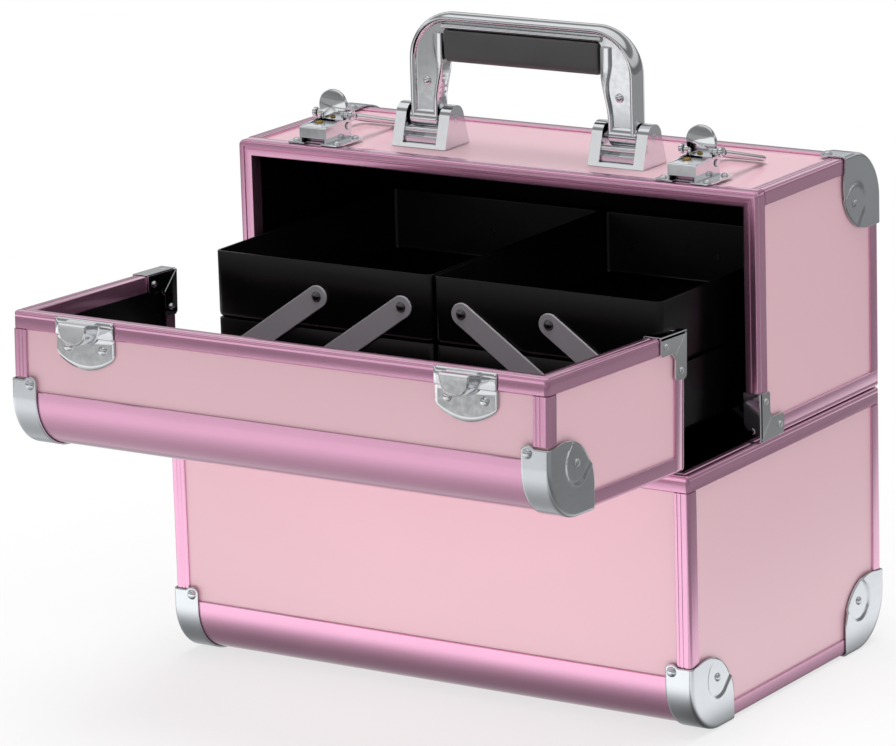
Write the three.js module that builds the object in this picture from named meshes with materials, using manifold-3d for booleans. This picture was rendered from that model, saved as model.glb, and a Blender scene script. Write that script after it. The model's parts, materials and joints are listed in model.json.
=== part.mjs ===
// Makeup train case: a rectangular case whose top half splits into a front cover that folds forward
// and a rear cover that folds back, with two stacks of cantilever trays between them.
//
// Frame: millimetres, +X to the right, +Y to the rear, +Z up. The origin is the centre of the
// floor panel's underside. The model is posed open: front cover folded forward, rear cover
// standing, latches open, carry handle up, trays nested.

import * as THREE from "three";
import { mergeVertices } from "three/addons/utils/BufferGeometryUtils.js";
import Module from "manifold-3d";

const wasm = await Module();
wasm.setup();

// ---------------------------------------------------------------- driving dimensions

const WIDTH = 330; // outside width of the case
const DEPTH = 210; // outside depth of the case, covers closed
const BASE_HEIGHT = 142.5; // base, from under its frame to the top of its rim
const COVER_HEIGHT = 134.6; // both covers
const FRONT_DEPTH = 74.5; // depth of the front cover when closed
const SEAM = 0.5; // gap between base and covers
const COVER_SEAM = 1.5; // gap between the two covers
const GAP = 0.3; // gap wherever two pieces lie against each other
const EDGE_RADIUS = 28; // radius of the four long rounded edges
const PROFILE_REACH = 32; // how far the curved profiles reach along each face
const SKIN = 0.9; // wall of the aluminium extrusions and steel fittings
const PANEL = 4; // thickness of the covered board panels
const LINING = 1.2; // thickness of the black plastic linings
const EDGE_WIDTH = 9; // visible width of the edge strips and corner posts
const RIM_HEIGHT = 10; // height of a rim on the outside
const RIM_WIDTH = 9.5; // width of a rim's face
const RIM_WEB = 1.4; // thickness of a rim's face

const HINGE_OUT = 3.2; // hinge axis in front of (or behind) the case's face
const HINGE_UP = 0.8; // hinge axis above the base's rim
const HINGE_LENGTH = 250;
const HINGE_KNUCKLE = 2.2; // outside radius of a hinge knuckle
const HINGE_PIN = 1.1;
const HINGE_LEAF = 8; // height of a hinge leaf
const HINGE_LEAF_START = 1.8; // hinge axis to a leaf's near edge
const HINGE_WEB = 1.2; // hinge axis to the near side of the webs that carry the knuckles
const HINGE_STEPS = 5; // knuckles along a hinge, alternately on the base's and the cover's leaf
const OPEN_ANGLE = 88; // degrees the front cover is folded forward

const CAP_SIZE = 43; // corner caps: reach along the two side edges
const CAP_LOBE = 20; // radius of the cap's inner corner
const CAP_TAB = 15; // reach of the cap along the rounded edge
const CAP_RIVET = 27; // side rivet, from both outer faces
const CAP_TAB_RIVET = 37; // rivet on the tab, from the far face
const CAP_RIVET_EDGE = 4.5; // rivet on the tab, from the tab's end
const BRACKET_LEG = 26; // corner brackets: length of a leg
const BRACKET_WIDTH = 10;
const BRACKET_FOLD = 16; // height of a bracket's folded face
const BRACKET_NECK = 4; // chamfer in a bracket's inner corner
const BRACKET_RIVET = 5; // rivet from a bracket leg's end
const RIVET = 2.4; // radius of a rivet's dome
const RIVET_RISE = 1.3;
const SMALL_RIVET = 1.9;
const SMALL_RIVET_RISE = 1;

const LATCH_OFFSET = 117.5; // latches and catches, left and right of the middle
const LATCH_SETBACK = 3.5; // latch plate behind the rear cover's seam face
const LATCH_WIDTH = 34.5;
const LATCH_DEPTH = 27;
const LATCH_RIVET = 4; // rivets from the plate's front and rear edges
const NOTCH_WIDTH = 11; // opening in the front of the latch for the catch's nose
const NOTCH_DEPTH = 4;
const BLOCK_WIDTH = 17.6;
const BLOCK_DEPTH = 19;
const BLOCK_HEIGHT = 9;
const EAR_RADIUS = 3.5; // ears that carry the lever's pin
const LEVER_DROP = 2.5; // lever axis below the block's top
const LEVER_PIN = 1.25;
const LEVER_LENGTH = 20;
const LEVER_WIDTH = 18.4;
const LEVER_THICK = 1.4;
const LEVER_NECK = 4; // lever axis to where the paddle starts to widen
const CHEEK_THICK = 1.2; // cheeks of the lever, which carry the bail's cross pin
const CHEEK_RADIUS = 2.2;
const LOCK_X = -4; // key cylinder, from the middle of the latch
const LOCK_Y = 13.5; // key cylinder, behind the plate's front edge
const LOCK_RADIUS = 2.4;
const LOCK_DEPTH = 2.6;
const LOCK_PROUD = 0.8;
const KEYWAY_LENGTH = 3.4;
const KEYWAY_WIDTH = 0.7;
const BAIL_RISE = 6; // bail pin above the lever's axis
const BAIL_LENGTH = 47.5;
const BAIL_WIDTH = 26.5;
const BAIL_WIRE = 2.4;
const BAIL_CORNER = 5;
const BAIL_EYE = 2.6;
const BAIL_PIN = 1.2;
const CATCH_WIDTH = 37;
const CATCH_LENGTH = 27;
const CATCH_CROWN = 8; // how far the catch plate's end bulges
const CATCH_RIVET_X = 11;
const CATCH_RIVET_Y = 17;
const NOSE_WIDTH = 19;
const NOSE_LENGTH = 12;
const NOSE_HEIGHT = 12.5;

const HANDLE_SPAN = 147; // carry handle, outside width of the bow
const HANDLE_RISE = 59.5; // axis to the top of the bow
const HANDLE_LEG = 21;
const HANDLE_THICK = 13; // front to back
const HANDLE_BAR = 9; // height of the bow's top bar
const HANDLE_CORNER = 27; // outside corner radius of the bow
const GRIP_HEIGHT = 18;
const HANDLE_Y = 10.5; // axis of the handle, behind the middle
const HANDLE_AXIS_UP = 14.5; // axis of the handle above the cover's frame
const CLEVIS_WIDTH = 35;
const CLEVIS_DEPTH = 25;
const CLEVIS_TOP = 7.5; // radius of an ear's rounded top
const CLEVIS_SLOT = 9; // depth of the slot under the axle
const WINDOW_WIDTH = 18; // opening in a bracket's front
const WINDOW_HEIGHT = 3.5;
const WINDOW_DEPTH = 6.5;
const AXLE = 2.5;
const LEG_STRAIGHT = 12; // straight inner edge of a leg above its axle
const LEG_TAPER = 3; // how much wider a leg gets towards the top
const GRIP_ROUND = 5; // radius of the grip's lower edges

const TRAY_WIDTH = 140.4;
const TRAY_DEPTH = 178;
const TRAY_HEIGHT = 37;
const TRAY_WALL = 1.5;
const TRAY_CORNER = 4;
const TRAY_MIDDLE_GAP = 1.2; // between the left and right stacks
const UPPER_TRAY_TOP = 228;
const TRAY_LAYER = 0.6; // between the upper and lower tray
const ARM_WIDTH = 12.5;
const ARM_THICK = 1.5;
const ARM_ANGLE = 34.5; // lean of the nested arms above the horizontal
const ARM_PITCH = 54.5; // between the two arms of a pair
const UPPER_PIVOT_INSET = 18.5; // long arm's upper pivot, from the tray's inner side
const PIVOT_DROP = 18.8; // tray pivots under the tray's top edge
const BASE_PIVOT_Z = 124;
const ARM_RIVET = 3; // radius of an arm rivet's head
const ARM_RIVET_RISE = 1.6;
const SHANK = 2.0; // radius of an arm rivet's shank
const SHANK_PLAY = 0.2;
const SHANK_PAST_WALL = 0.3;
const BOSS_RADIUS = 5;
const BOSS_BORE = 5; // depth of the blind hole in a boss
const BOSS_GRIP = 3; // how far a shank reaches into its boss

// ---------------------------------------------------------------- derived places

const HALF_W = WIDTH / 2;
const FRONT = -DEPTH / 2;
const REAR = DEPTH / 2;
const INSET = SKIN + GAP; // panels lie this far inside the frame's outer faces
const BOTTOM = -INSET; // underside of the base's frame
const BASE_TOP = BOTTOM + BASE_HEIGHT;
const COVER_BOTTOM = BASE_TOP + SEAM;
const TOP = COVER_BOTTOM + COVER_HEIGHT;
const REAR_DEPTH = DEPTH - FRONT_DEPTH - COVER_SEAM;
const SEAM_Y = FRONT + FRONT_DEPTH; // seam face of the front cover
const HINGE_Z = BASE_TOP + HINGE_UP;
const PANEL_TOP = TOP - INSET;
const RIM_CLEAR = RIM_WEB + GAP; // panels and linings stop this far under a rim's face

const MATERIALS = {
  panel: [0xecc4cf, 0.45, 0.0],
  lining: [0x0b0b0d, 0.3, 0.0],
  anodised: [0xc27fb0, 0.28, 0.9],
  steel: [0xc9ccd1, 0.22, 1.0],
  chrome: [0xd9dbde, 0.08, 1.0],
  arm: [0x7c7780, 0.45, 0.9],
  grip: [0x3a3a3b, 0.6, 0.0],
  brass: [0xc9a94a, 0.3, 1.0],
};

// ---------------------------------------------------------------- solids and booleans

function solid(geometry) {
  const bare = geometry.index ? geometry.toNonIndexed() : geometry.clone();
  bare.deleteAttribute("normal");
  bare.deleteAttribute("uv");
  const merged = mergeVertices(bare, 1e-4);
  const mesh = new wasm.Mesh({
    numProp: 3,
    vertProperties: new Float32Array(merged.attributes.position.array),
    triVerts: new Uint32Array(merged.index.array),
  });
  return new wasm.Manifold(mesh);
}

function geometryOf(manifold) {
  const mesh = manifold.getMesh();
  const geometry = new THREE.BufferGeometry();
  geometry.setAttribute("position", new THREE.BufferAttribute(mesh.vertProperties, 3));
  geometry.setIndex(new THREE.BufferAttribute(mesh.triVerts, 1));
  geometry.computeVertexNormals();
  return geometry;
}

const join = (...parts) => parts.reduce((a, b) => a.add(b));
const cut = (body, ...tools) => tools.reduce((a, b) => a.subtract(b), body);

function box(x0, x1, y0, y1, z0, z1) {
  const geometry = new THREE.BoxGeometry(x1 - x0, y1 - y0, z1 - z0);
  geometry.translate((x0 + x1) / 2, (y0 + y1) / 2, (z0 + z1) / 2);
  return solid(geometry);
}

// The two numbers in rising order.
const sorted = (a, b) => [Math.min(a, b), Math.max(a, b)];

function extrude(shape, depth, curveSegments = 4) {
  return new THREE.ExtrudeGeometry(shape, { depth, bevelEnabled: false, curveSegments });
}

// A shape drawn in Y and Z, swept along X from x0 to x1.
function prismX(shape, x0, x1, curveSegments) {
  const turn = new THREE.Matrix4().makeBasis(
    new THREE.Vector3(0, 1, 0),
    new THREE.Vector3(0, 0, 1),
    new THREE.Vector3(1, 0, 0),
  );
  return solid(extrude(shape, x1 - x0, curveSegments).applyMatrix4(turn).translate(x0, 0, 0));
}

// A shape drawn in X and Z, swept along Y from y0 to y1.
function prismY(shape, y0, y1, curveSegments) {
  return solid(extrude(shape, y1 - y0, curveSegments).rotateX(Math.PI / 2).translate(0, y1, 0));
}

// A shape drawn in X and Y, swept along Z from z0 to z1.
function prismZ(shape, z0, z1, curveSegments) {
  return solid(extrude(shape, z1 - z0, curveSegments).translate(0, 0, z0));
}

function rodX(radius, x0, x1, y, z, segments = 12) {
  const geometry = new THREE.CylinderGeometry(radius, radius, x1 - x0, segments);
  return solid(geometry.rotateZ(Math.PI / 2).translate((x0 + x1) / 2, y, z));
}

function rodY(radius, y0, y1, x, z, segments = 12) {
  const geometry = new THREE.CylinderGeometry(radius, radius, y1 - y0, segments);
  return solid(geometry.translate(x, (y0 + y1) / 2, z));
}

function rodZ(radius, z0, z1, x, y, segments = 12) {
  const geometry = new THREE.CylinderGeometry(radius, radius, z1 - z0, segments);
  return solid(geometry.rotateX(Math.PI / 2).translate(x, y, (z0 + z1) / 2));
}

// A low dome standing on a face at `at`, pointing along `normal`, let 0.2 mm into the face.
function dome(at, normal, radius = RIVET, height = RIVET_RISE) {
  const profile = [new THREE.Vector2(0, -0.2), new THREE.Vector2(radius, -0.2)];
  for (let step = 0; step < 2; step++) {
    const angle = (step / 2) * (Math.PI / 2);
    profile.push(new THREE.Vector2(radius * Math.cos(angle), height * Math.sin(angle)));
  }
  profile.push(new THREE.Vector2(0, height));
  const geometry = new THREE.LatheGeometry(profile, 8);
  const turn = new THREE.Quaternion().setFromUnitVectors(
    new THREE.Vector3(0, 1, 0),
    new THREE.Vector3(...normal),
  );
  return solid(geometry.applyQuaternion(turn).translate(...at));
}

// ---------------------------------------------------------------- outlines in Y and Z

// A rectangle, each of its corners with its own radius: bottom-front, bottom-rear, top-rear, top-front.
function roundedOutline(y0, y1, z0, z1, radii) {
  const [a, b, c, d] = radii;
  const shape = new THREE.Shape();
  shape.moveTo(y0 + a, z0);
  shape.lineTo(y1 - b, z0);
  if (b) shape.absarc(y1 - b, z0 + b, b, -Math.PI / 2, 0, false);
  shape.lineTo(y1, z1 - c);
  if (c) shape.absarc(y1 - c, z1 - c, c, 0, Math.PI / 2, false);
  shape.lineTo(y0 + d, z1);
  if (d) shape.absarc(y0 + d, z1 - d, d, Math.PI / 2, Math.PI, false);
  shape.lineTo(y0, z0 + a);
  if (a) shape.absarc(y0 + a, z0 + a, a, Math.PI, 1.5 * Math.PI, false);
  return shape;
}

// The three housings of the case: outer faces in Y and Z, which corners are rounded, which sides are open.
const HOUSINGS = {
  base: {
    y: [FRONT, REAR],
    z: [BOTTOM, BASE_TOP],
    rounded: [1, 1, 0, 0],
    open: { top: true },
  },
  front_cover: {
    y: [FRONT, SEAM_Y],
    z: [COVER_BOTTOM, TOP],
    rounded: [0, 0, 0, 1],
    open: { bottom: true, rear: true },
  },
  rear_cover: {
    y: [REAR - REAR_DEPTH, REAR],
    z: [COVER_BOTTOM, TOP],
    rounded: [0, 0, 1, 0],
    open: { bottom: true, front: true },
  },
};

// Outline of a housing with its closed faces moved in by `inset` and its open ones by `trim`.
function housingOutline(housing, inset, trim = 0) {
  const move = (side) => (housing.open[side] ? trim : inset);
  const radii = housing.rounded.map((on) => (on ? EDGE_RADIUS - inset : 0));
  return roundedOutline(
    housing.y[0] + move("front"),
    housing.y[1] - move("rear"),
    housing.z[0] + move("bottom"),
    housing.z[1] - move("top"),
    radii,
  );
}

// ---------------------------------------------------------------- panels, linings, profiles

// Boxes that hold only the rounded-edge region of a housing.
function profileRegions(housing, reach, halfWidth) {
  const [y0, y1] = housing.y;
  const [z0, z1] = housing.z;
  const corners = [
    [y0 - 1, y0 + reach, z0 - 1, z0 + reach],
    [y1 - reach, y1 + 1, z0 - 1, z0 + reach],
    [y1 - reach, y1 + 1, z1 - reach, z1 + 1],
    [y0 - 1, y0 + reach, z1 - reach, z1 + 1],
  ];
  return corners
    .filter((corner, i) => housing.rounded[i])
    .map((c) => box(-halfWidth, halfWidth, ...c));
}

function shellBetween(housing, outerInset, innerInset, outerHalf, innerHalf, trim) {
  const outer = prismX(housingOutline(housing, outerInset, trim), -outerHalf, outerHalf);
  const inner = prismX(housingOutline(housing, innerInset, -1), -innerHalf, innerHalf);
  return cut(outer, inner);
}

// The board panels of a housing, less the stretches that the curved profiles replace.
function panels(housing) {
  const inner = HALF_W - INSET - PANEL;
  const shell = shellBetween(housing, INSET, INSET + PANEL, HALF_W - INSET, inner, RIM_CLEAR);
  return cut(shell, ...profileRegions(housing, PROFILE_REACH + GAP, inner));
}

function lining(housing) {
  const inset = INSET + PANEL + GAP;
  const half = HALF_W - inset;
  return shellBetween(housing, inset, inset + LINING, half, half - LINING, RIM_CLEAR);
}

// One curved profile per rounded edge: a thin quarter-round with short straight lips.
function curvedProfiles(housing) {
  const half = HALF_W - INSET;
  const skin = cut(
    prismX(housingOutline(housing, 0), -half, half, 5),
    prismX(housingOutline(housing, SKIN, -1), -half - 1, half + 1, 5),
  );
  return profileRegions(housing, PROFILE_REACH, half).map((region) => skin.intersect(region));
}

// ---------------------------------------------------------------- aluminium frames

// Edge strips on both side faces, all the way round the housing's outline.
function sideBands(housing) {
  const hole = prismX(housingOutline(housing, EDGE_WIDTH, EDGE_WIDTH), -WIDTH, WIDTH);
  const outline = housingOutline(housing, 0);
  const left = cut(prismX(outline, -HALF_W, -HALF_W + SKIN), hole);
  const right = cut(prismX(outline, HALF_W - SKIN, HALF_W), hole);
  return [left, right];
}

// Whatever `make` returns for the strip of EDGE_WIDTH along the left and the right side.
function bothSides(make) {
  return [make(-HALF_W, -HALF_W + EDGE_WIDTH), make(HALF_W - EDGE_WIDTH, HALF_W)];
}

function baseFrame() {
  const low = BASE_TOP - RIM_HEIGHT;
  const inner = RIM_WIDTH;
  const slotIn = RIM_WIDTH - RIM_WEB;
  const ring = cut(
    box(-HALF_W, HALF_W, FRONT, REAR, low, BASE_TOP),
    box(-HALF_W + inner, HALF_W - inner, FRONT + inner, REAR - inner, low - 1, BASE_TOP + 1),
  );
  const slot = cut(
    box(-HALF_W + SKIN, HALF_W - SKIN, FRONT + SKIN, REAR - SKIN, low - 1, BASE_TOP - RIM_WEB),
    box(-HALF_W + slotIn, HALF_W - slotIn, FRONT + slotIn, REAR - slotIn, low - 2, BASE_TOP),
  );
  const foot = BOTTOM + PROFILE_REACH + GAP;
  const posts = [FRONT, REAR - SKIN].flatMap((y) =>
    bothSides((x0, x1) => box(x0, x1, y, y + SKIN, foot, low + 1)),
  );
  const reach = PROFILE_REACH + GAP;
  const soles = bothSides((x0, x1) =>
    box(x0, x1, FRONT + reach, REAR - reach, BOTTOM, BOTTOM + SKIN),
  );
  return join(cut(ring, slot), ...sideBands(HOUSINGS.base), ...posts, ...soles);
}

// A rim bent round three sides of an opening: outer wall, flat face and inner wall, open at the back.
// `band(inset, near, far)` returns the box `inset` inside the rim's outline, from `near` to `far`
// below its face.
function bentRim(band) {
  const slotIn = RIM_WIDTH - RIM_WEB;
  const outer = band(0, 0, RIM_HEIGHT);
  const opening = band(RIM_WIDTH, -1, RIM_HEIGHT + 1);
  const slot = cut(band(SKIN, RIM_WEB, RIM_HEIGHT + 1), band(slotIn, -1, RIM_HEIGHT + 2));
  return cut(outer, opening, slot);
}

// Frame of a cover: rims round the seam face and the bottom, edge strips on top, and corner posts.
// `facing` is +1 where the seam face looks to the rear, -1 where it looks to the front.
function coverFrame(housing, facing) {
  const seam = facing > 0 ? housing.y[1] : housing.y[0];
  const back = facing > 0 ? housing.y[0] : housing.y[1];
  const depth = Math.abs(seam - back);
  const corner = BRACKET_FOLD + GAP; // room for the corner brackets
  const [z0, z1] = housing.z;
  const fromSeam = (a, b) => sorted(seam - facing * a, seam - facing * b);
  const fromBack = (a, b) => sorted(back + facing * a, back + facing * b);

  // Insets count from the sides and the top; the face lies in the seam.
  const seamRim = bentRim((inset, near, far) =>
    box(
      -HALF_W + inset,
      HALF_W - inset,
      ...fromSeam(near, far),
      inset > 0 ? z0 : z0 + corner,
      z1 - inset,
    ),
  );
  // Insets count from the sides and the back face; the face lies underneath.
  const bottomRim = bentRim((inset, near, far) =>
    box(
      -HALF_W + inset,
      HALF_W - inset,
      ...fromBack(inset, inset > 0 ? depth : depth - corner),
      z0 + near,
      z0 + far,
    ),
  );
  const posts = bothSides((x0, x1) =>
    box(x0, x1, ...fromBack(0, SKIN), z0 + RIM_HEIGHT - 1, z1 - PROFILE_REACH - GAP),
  );
  const strips = bothSides((x0, x1) =>
    box(x0, x1, ...fromBack(PROFILE_REACH + GAP, depth - 1), z1 - SKIN, z1),
  );
  const bracketRoom = box(-WIDTH, WIDTH, ...fromSeam(-1, corner), z0 - 1, z0 + corner);
  const bands = sideBands(housing).map((band) => cut(band, bracketRoom));
  return join(seamRim, bottomRim, ...posts, ...strips, ...bands);
}

// ---------------------------------------------------------------- steel corner fittings

// Cap outline in local axes: u away from the rounded face, v away from the other face.
function capOutline(place, inset = 0) {
  const shape = new THREE.Shape();
  const radius = EDGE_RADIUS + INSET;
  const points = [];
  const arc = (cu, cv, r, from, to, steps) => {
    for (let i = 0; i <= steps; i++) {
      const angle = from + ((to - from) * i) / steps;
      points.push([cu + r * Math.cos(angle), cv + r * Math.sin(angle)]);
    }
  };
  const edge = -INSET + inset;
  arc(EDGE_RADIUS, EDGE_RADIUS, radius - inset, Math.PI, 1.5 * Math.PI, 10);
  points.push([CAP_SIZE, edge]);
  arc(CAP_SIZE - CAP_LOBE, CAP_SIZE - CAP_LOBE, CAP_LOBE, 0, Math.PI / 2, 8);
  points.push([edge, CAP_SIZE]);
  points.forEach(([u, v], i) => {
    const [y, z] = place(u, v);
    if (i === 0) shape.moveTo(y, z);
    else shape.lineTo(y, z);
  });
  return shape;
}

// A steel cap over one end of a rounded edge. `side` is -1 left, +1 right.
function cornerCap(side, yFace, yDir, zFace, zDir) {
  const place = (u, v) => [yFace + yDir * u, zFace + zDir * v];
  const outer = HALF_W + INSET;
  const xs = (a, b) => sorted(side * a, side * b);
  const tabStart = HALF_W - CAP_TAB;
  const body = prismX(capOutline(place), ...xs(tabStart, outer));
  const hollow = prismX(capOutline(place, SKIN), ...xs(tabStart - 1, HALF_W + GAP));
  const wide = CAP_SIZE + CAP_LOBE;
  const rest = (u0, u1, v0, v1) => {
    const [ya, za] = place(u0, v0);
    const [yb, zb] = place(u1, v1);
    return box(...xs(tabStart - 1, HALF_W + GAP), ...sorted(ya, yb), ...sorted(za, zb));
  };
  const aboveTab = rest(-GAP, wide, EDGE_RADIUS - GAP, wide);
  const behindTab = rest(EDGE_RADIUS, wide, -GAP, wide);
  const [sideY, sideZ] = place(CAP_RIVET, CAP_RIVET);
  const [tabY, tabZ] = place(-INSET, CAP_TAB_RIVET);
  const tabX = HALF_W - CAP_TAB + CAP_RIVET_EDGE;
  return join(
    cut(body, hollow, aboveTab, behindTab),
    dome([side * outer, sideY, sideZ], [side, 0, 0]),
    dome([side * tabX, tabY, tabZ], [0, -yDir, 0]),
  );
}

// L-shaped steel bracket at a cover's free bottom corner, folded round the seam rim.
function cornerBracket(side, housing, facing) {
  const seam = facing > 0 ? housing.y[1] : housing.y[0];
  const z0 = housing.z[0];
  const y = (d) => seam - facing * d;
  const shape = new THREE.Shape();
  const points = [
    [0, 0],
    [BRACKET_LEG, 0],
    [BRACKET_LEG, BRACKET_WIDTH],
    [BRACKET_WIDTH + BRACKET_NECK, BRACKET_WIDTH],
    [BRACKET_WIDTH, BRACKET_WIDTH + BRACKET_NECK],
    [BRACKET_WIDTH, BRACKET_LEG],
    [0, BRACKET_LEG],
  ];
  points.forEach(([d, h], i) => {
    if (i === 0) shape.moveTo(y(d), z0 + h);
    else shape.lineTo(y(d), z0 + h);
  });
  const outer = HALF_W + INSET;
  const xs = (a, b) => sorted(side * a, side * b);
  const plate = prismX(shape, ...xs(HALF_W + GAP, outer));
  const fold = box(...xs(HALF_W - RIM_WIDTH, outer), ...sorted(y(0), y(SKIN)), z0, z0 + BRACKET_FOLD);
  const middle = BRACKET_WIDTH / 2;
  const far = BRACKET_LEG - BRACKET_RIVET;
  const rivet = (d, h) =>
    dome([side * outer, y(d), z0 + h], [side, 0, 0], SMALL_RIVET, SMALL_RIVET_RISE);
  return join(plate, fold, rivet(far, middle), rivet(middle, far));
}

// ---------------------------------------------------------------- hinges

const HINGE_PLAY = 0.15; // between the pin and the knuckles that turn on it
const HINGE_PLUG = 3; // length over which the pin is peened into an end knuckle

// Leaf on the outer face of a rim, with its knuckles. `facing` is -1 at the front, +1 at the rear.
function hingeLeaf(facing, onBase) {
  const up = onBase ? -1 : 1;
  const axis = [facing * (REAR + HINGE_OUT), HINGE_Z];
  const near = facing * (REAR + GAP);
  const start = HINGE_Z + up * HINGE_LEAF_START;
  const end = start + up * HINGE_LEAF;
  const half = HINGE_LENGTH / 2;
  const leaf = box(-half, half, ...sorted(near, near + facing * SKIN), ...sorted(start, end));
  const pitch = HINGE_LENGTH / HINGE_STEPS;
  const knuckles = [];
  for (let i = onBase ? 0 : 1; i < HINGE_STEPS; i += 2) {
    const x0 = -half + i * pitch + GAP;
    const x1 = x0 + pitch - 2 * GAP;
    const web = box(x0, x1, ...sorted(near, axis[0]), ...sorted(HINGE_Z + up * HINGE_WEB, start + up));
    knuckles.push(rodX(HINGE_KNUCKLE, x0, x1, ...axis), web);
  }
  const bore = rodX(HINGE_PIN + HINGE_PLAY, -half - 1, half + 1, ...axis);
  const body = cut(join(leaf, ...knuckles), bore);
  if (!onBase) return body;
  // The pin is peened into the base leaf's two end knuckles.
  const pin = rodX(HINGE_PIN, -half, half, ...axis);
  const plugs = [-1, 1].map((side) =>
    rodX(HINGE_PIN + GAP, ...sorted(side * half, side * (half - HINGE_PLUG)), ...axis),
  );
  return join(body, pin, ...plugs);
}

// ---------------------------------------------------------------- latches and catches

const LATCH_FRONT = REAR - REAR_DEPTH + LATCH_SETBACK; // front edge of a latch plate
const PLATE_LOW = TOP + GAP;
const PLATE_HIGH = PLATE_LOW + SKIN;
const BLOCK_TOP = PLATE_HIGH + BLOCK_HEIGHT;
const LEVER_AXIS = [LATCH_FRONT + BLOCK_DEPTH + EAR_RADIUS, BLOCK_TOP - LEVER_DROP];
const BAIL_AXIS = [LEVER_AXIS[0], LEVER_AXIS[1] + BAIL_RISE];
const LEVER_INNER = BLOCK_WIDTH / 2 - SKIN - GAP; // half width of the lever between the ears
const PIN_PLAY = 0.2;
const SINK = 0.2; // how far a piece standing on a plate is let into it

// Plate, hollow-fronted lock block and the two ears of a latch, in one casting.
function latchPlate(x) {
  const y0 = LATCH_FRONT;
  const half = LATCH_WIDTH / 2;
  const blockHalf = BLOCK_WIDTH / 2;
  const foot = PLATE_HIGH - SINK;
  const plate = box(x - half, x + half, y0, y0 + LATCH_DEPTH, PLATE_LOW, PLATE_HIGH);
  const block = box(x - blockHalf, x + blockHalf, y0 + 1, y0 + BLOCK_DEPTH, foot, BLOCK_TOP);
  const notchHalf = NOTCH_WIDTH / 2;
  const notch = box(x - notchHalf, x + notchHalf, y0 - 1, y0 + NOTCH_DEPTH, PLATE_LOW - 1, PLATE_HIGH + 2);
  const [ay, az] = LEVER_AXIS;
  const pinBore = rodX(LEVER_PIN + PIN_PLAY, x - half, x + half, ay, az);
  const ears = [-1, 1].map((side) => {
    const [outer, inner] = [x + side * blockHalf, x + side * (blockHalf - SKIN)];
    const wall = box(...sorted(inner, outer), y0 + BLOCK_DEPTH - 2, ay + EAR_RADIUS, foot, az);
    return cut(join(wall, rodX(EAR_RADIUS, ...sorted(inner, outer), ay, az)), pinBore);
  });
  const rivets = [-1, 1].flatMap((side) =>
    [y0 + LATCH_RIVET, y0 + LATCH_DEPTH - LATCH_RIVET].map((y) =>
      dome([x + side * (half - 3), y, PLATE_HIGH], [0, 0, 1], SMALL_RIVET, SMALL_RIVET_RISE),
    ),
  );
  const lockRadius = LOCK_RADIUS + GAP;
  const lockBore = rodZ(lockRadius, BLOCK_TOP - LOCK_DEPTH - GAP, BLOCK_TOP + 1, x + LOCK_X, y0 + LOCK_Y, 16);
  return cut(join(cut(join(plate, block), notch), ...ears, ...rivets), lockBore);
}

// Key cylinder in the latch's lock block.
function lockCylinder(x) {
  const middle = x + LOCK_X;
  const y = LATCH_FRONT + LOCK_Y;
  const [length, width] = [KEYWAY_LENGTH / 2, KEYWAY_WIDTH / 2];
  const body = rodZ(LOCK_RADIUS, BLOCK_TOP - LOCK_DEPTH, BLOCK_TOP + LOCK_PROUD, middle, y, 16);
  return cut(body, box(middle - length, middle + length, y - width, y + width, BLOCK_TOP, BLOCK_TOP + 2));
}

// Paddle lever standing on its pin, with the bail's cross pin through its cheeks.
function latchLever(x) {
  const [ay, az] = LEVER_AXIS;
  const radius = LEVER_WIDTH / 2;
  const tip = az + LEVER_LENGTH;
  const shape = new THREE.Shape();
  shape.moveTo(x - LEVER_INNER, az - 1);
  shape.lineTo(x + LEVER_INNER, az - 1);
  shape.lineTo(x + LEVER_INNER, az + LEVER_NECK);
  shape.lineTo(x + radius, tip - radius);
  shape.absarc(x, tip - radius, radius, 0, Math.PI, false);
  shape.lineTo(x - LEVER_INNER, az + LEVER_NECK);
  const face = ay - LEVER_PIN - GAP;
  const paddle = prismY(shape, face, face + LEVER_THICK, 5);
  const cheeks = [-1, 1].map((side) => {
    const xs = sorted(x + side * LEVER_INNER, x + side * (LEVER_INNER - CHEEK_THICK));
    return join(
      box(...xs, face + 1, ay + CHEEK_RADIUS - GAP, az - 1, az + BAIL_RISE),
      rodX(CHEEK_RADIUS, ...xs, ay, az + BAIL_RISE, 14),
      rodX(CHEEK_RADIUS, ...xs, ay, az, 14),
    );
  });
  const hingeHalf = BLOCK_WIDTH / 2 + GAP;
  const hingePin = rodX(LEVER_PIN, x - hingeHalf, x + hingeHalf, ay, az);
  const crossHalf = BAIL_WIDTH / 2 + 2 * GAP;
  const crossPin = rodX(BAIL_PIN, x - crossHalf, x + crossHalf, ay, az + BAIL_RISE);
  return join(paddle, ...cheeks, hingePin, crossPin);
}

// Angle below the horizontal at which the bail's end lies on the cover's top panel.
const BAIL_REST = Math.asin((BAIL_AXIS[1] - (PANEL_TOP + GAP + BAIL_WIRE)) / BAIL_LENGTH);

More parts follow.
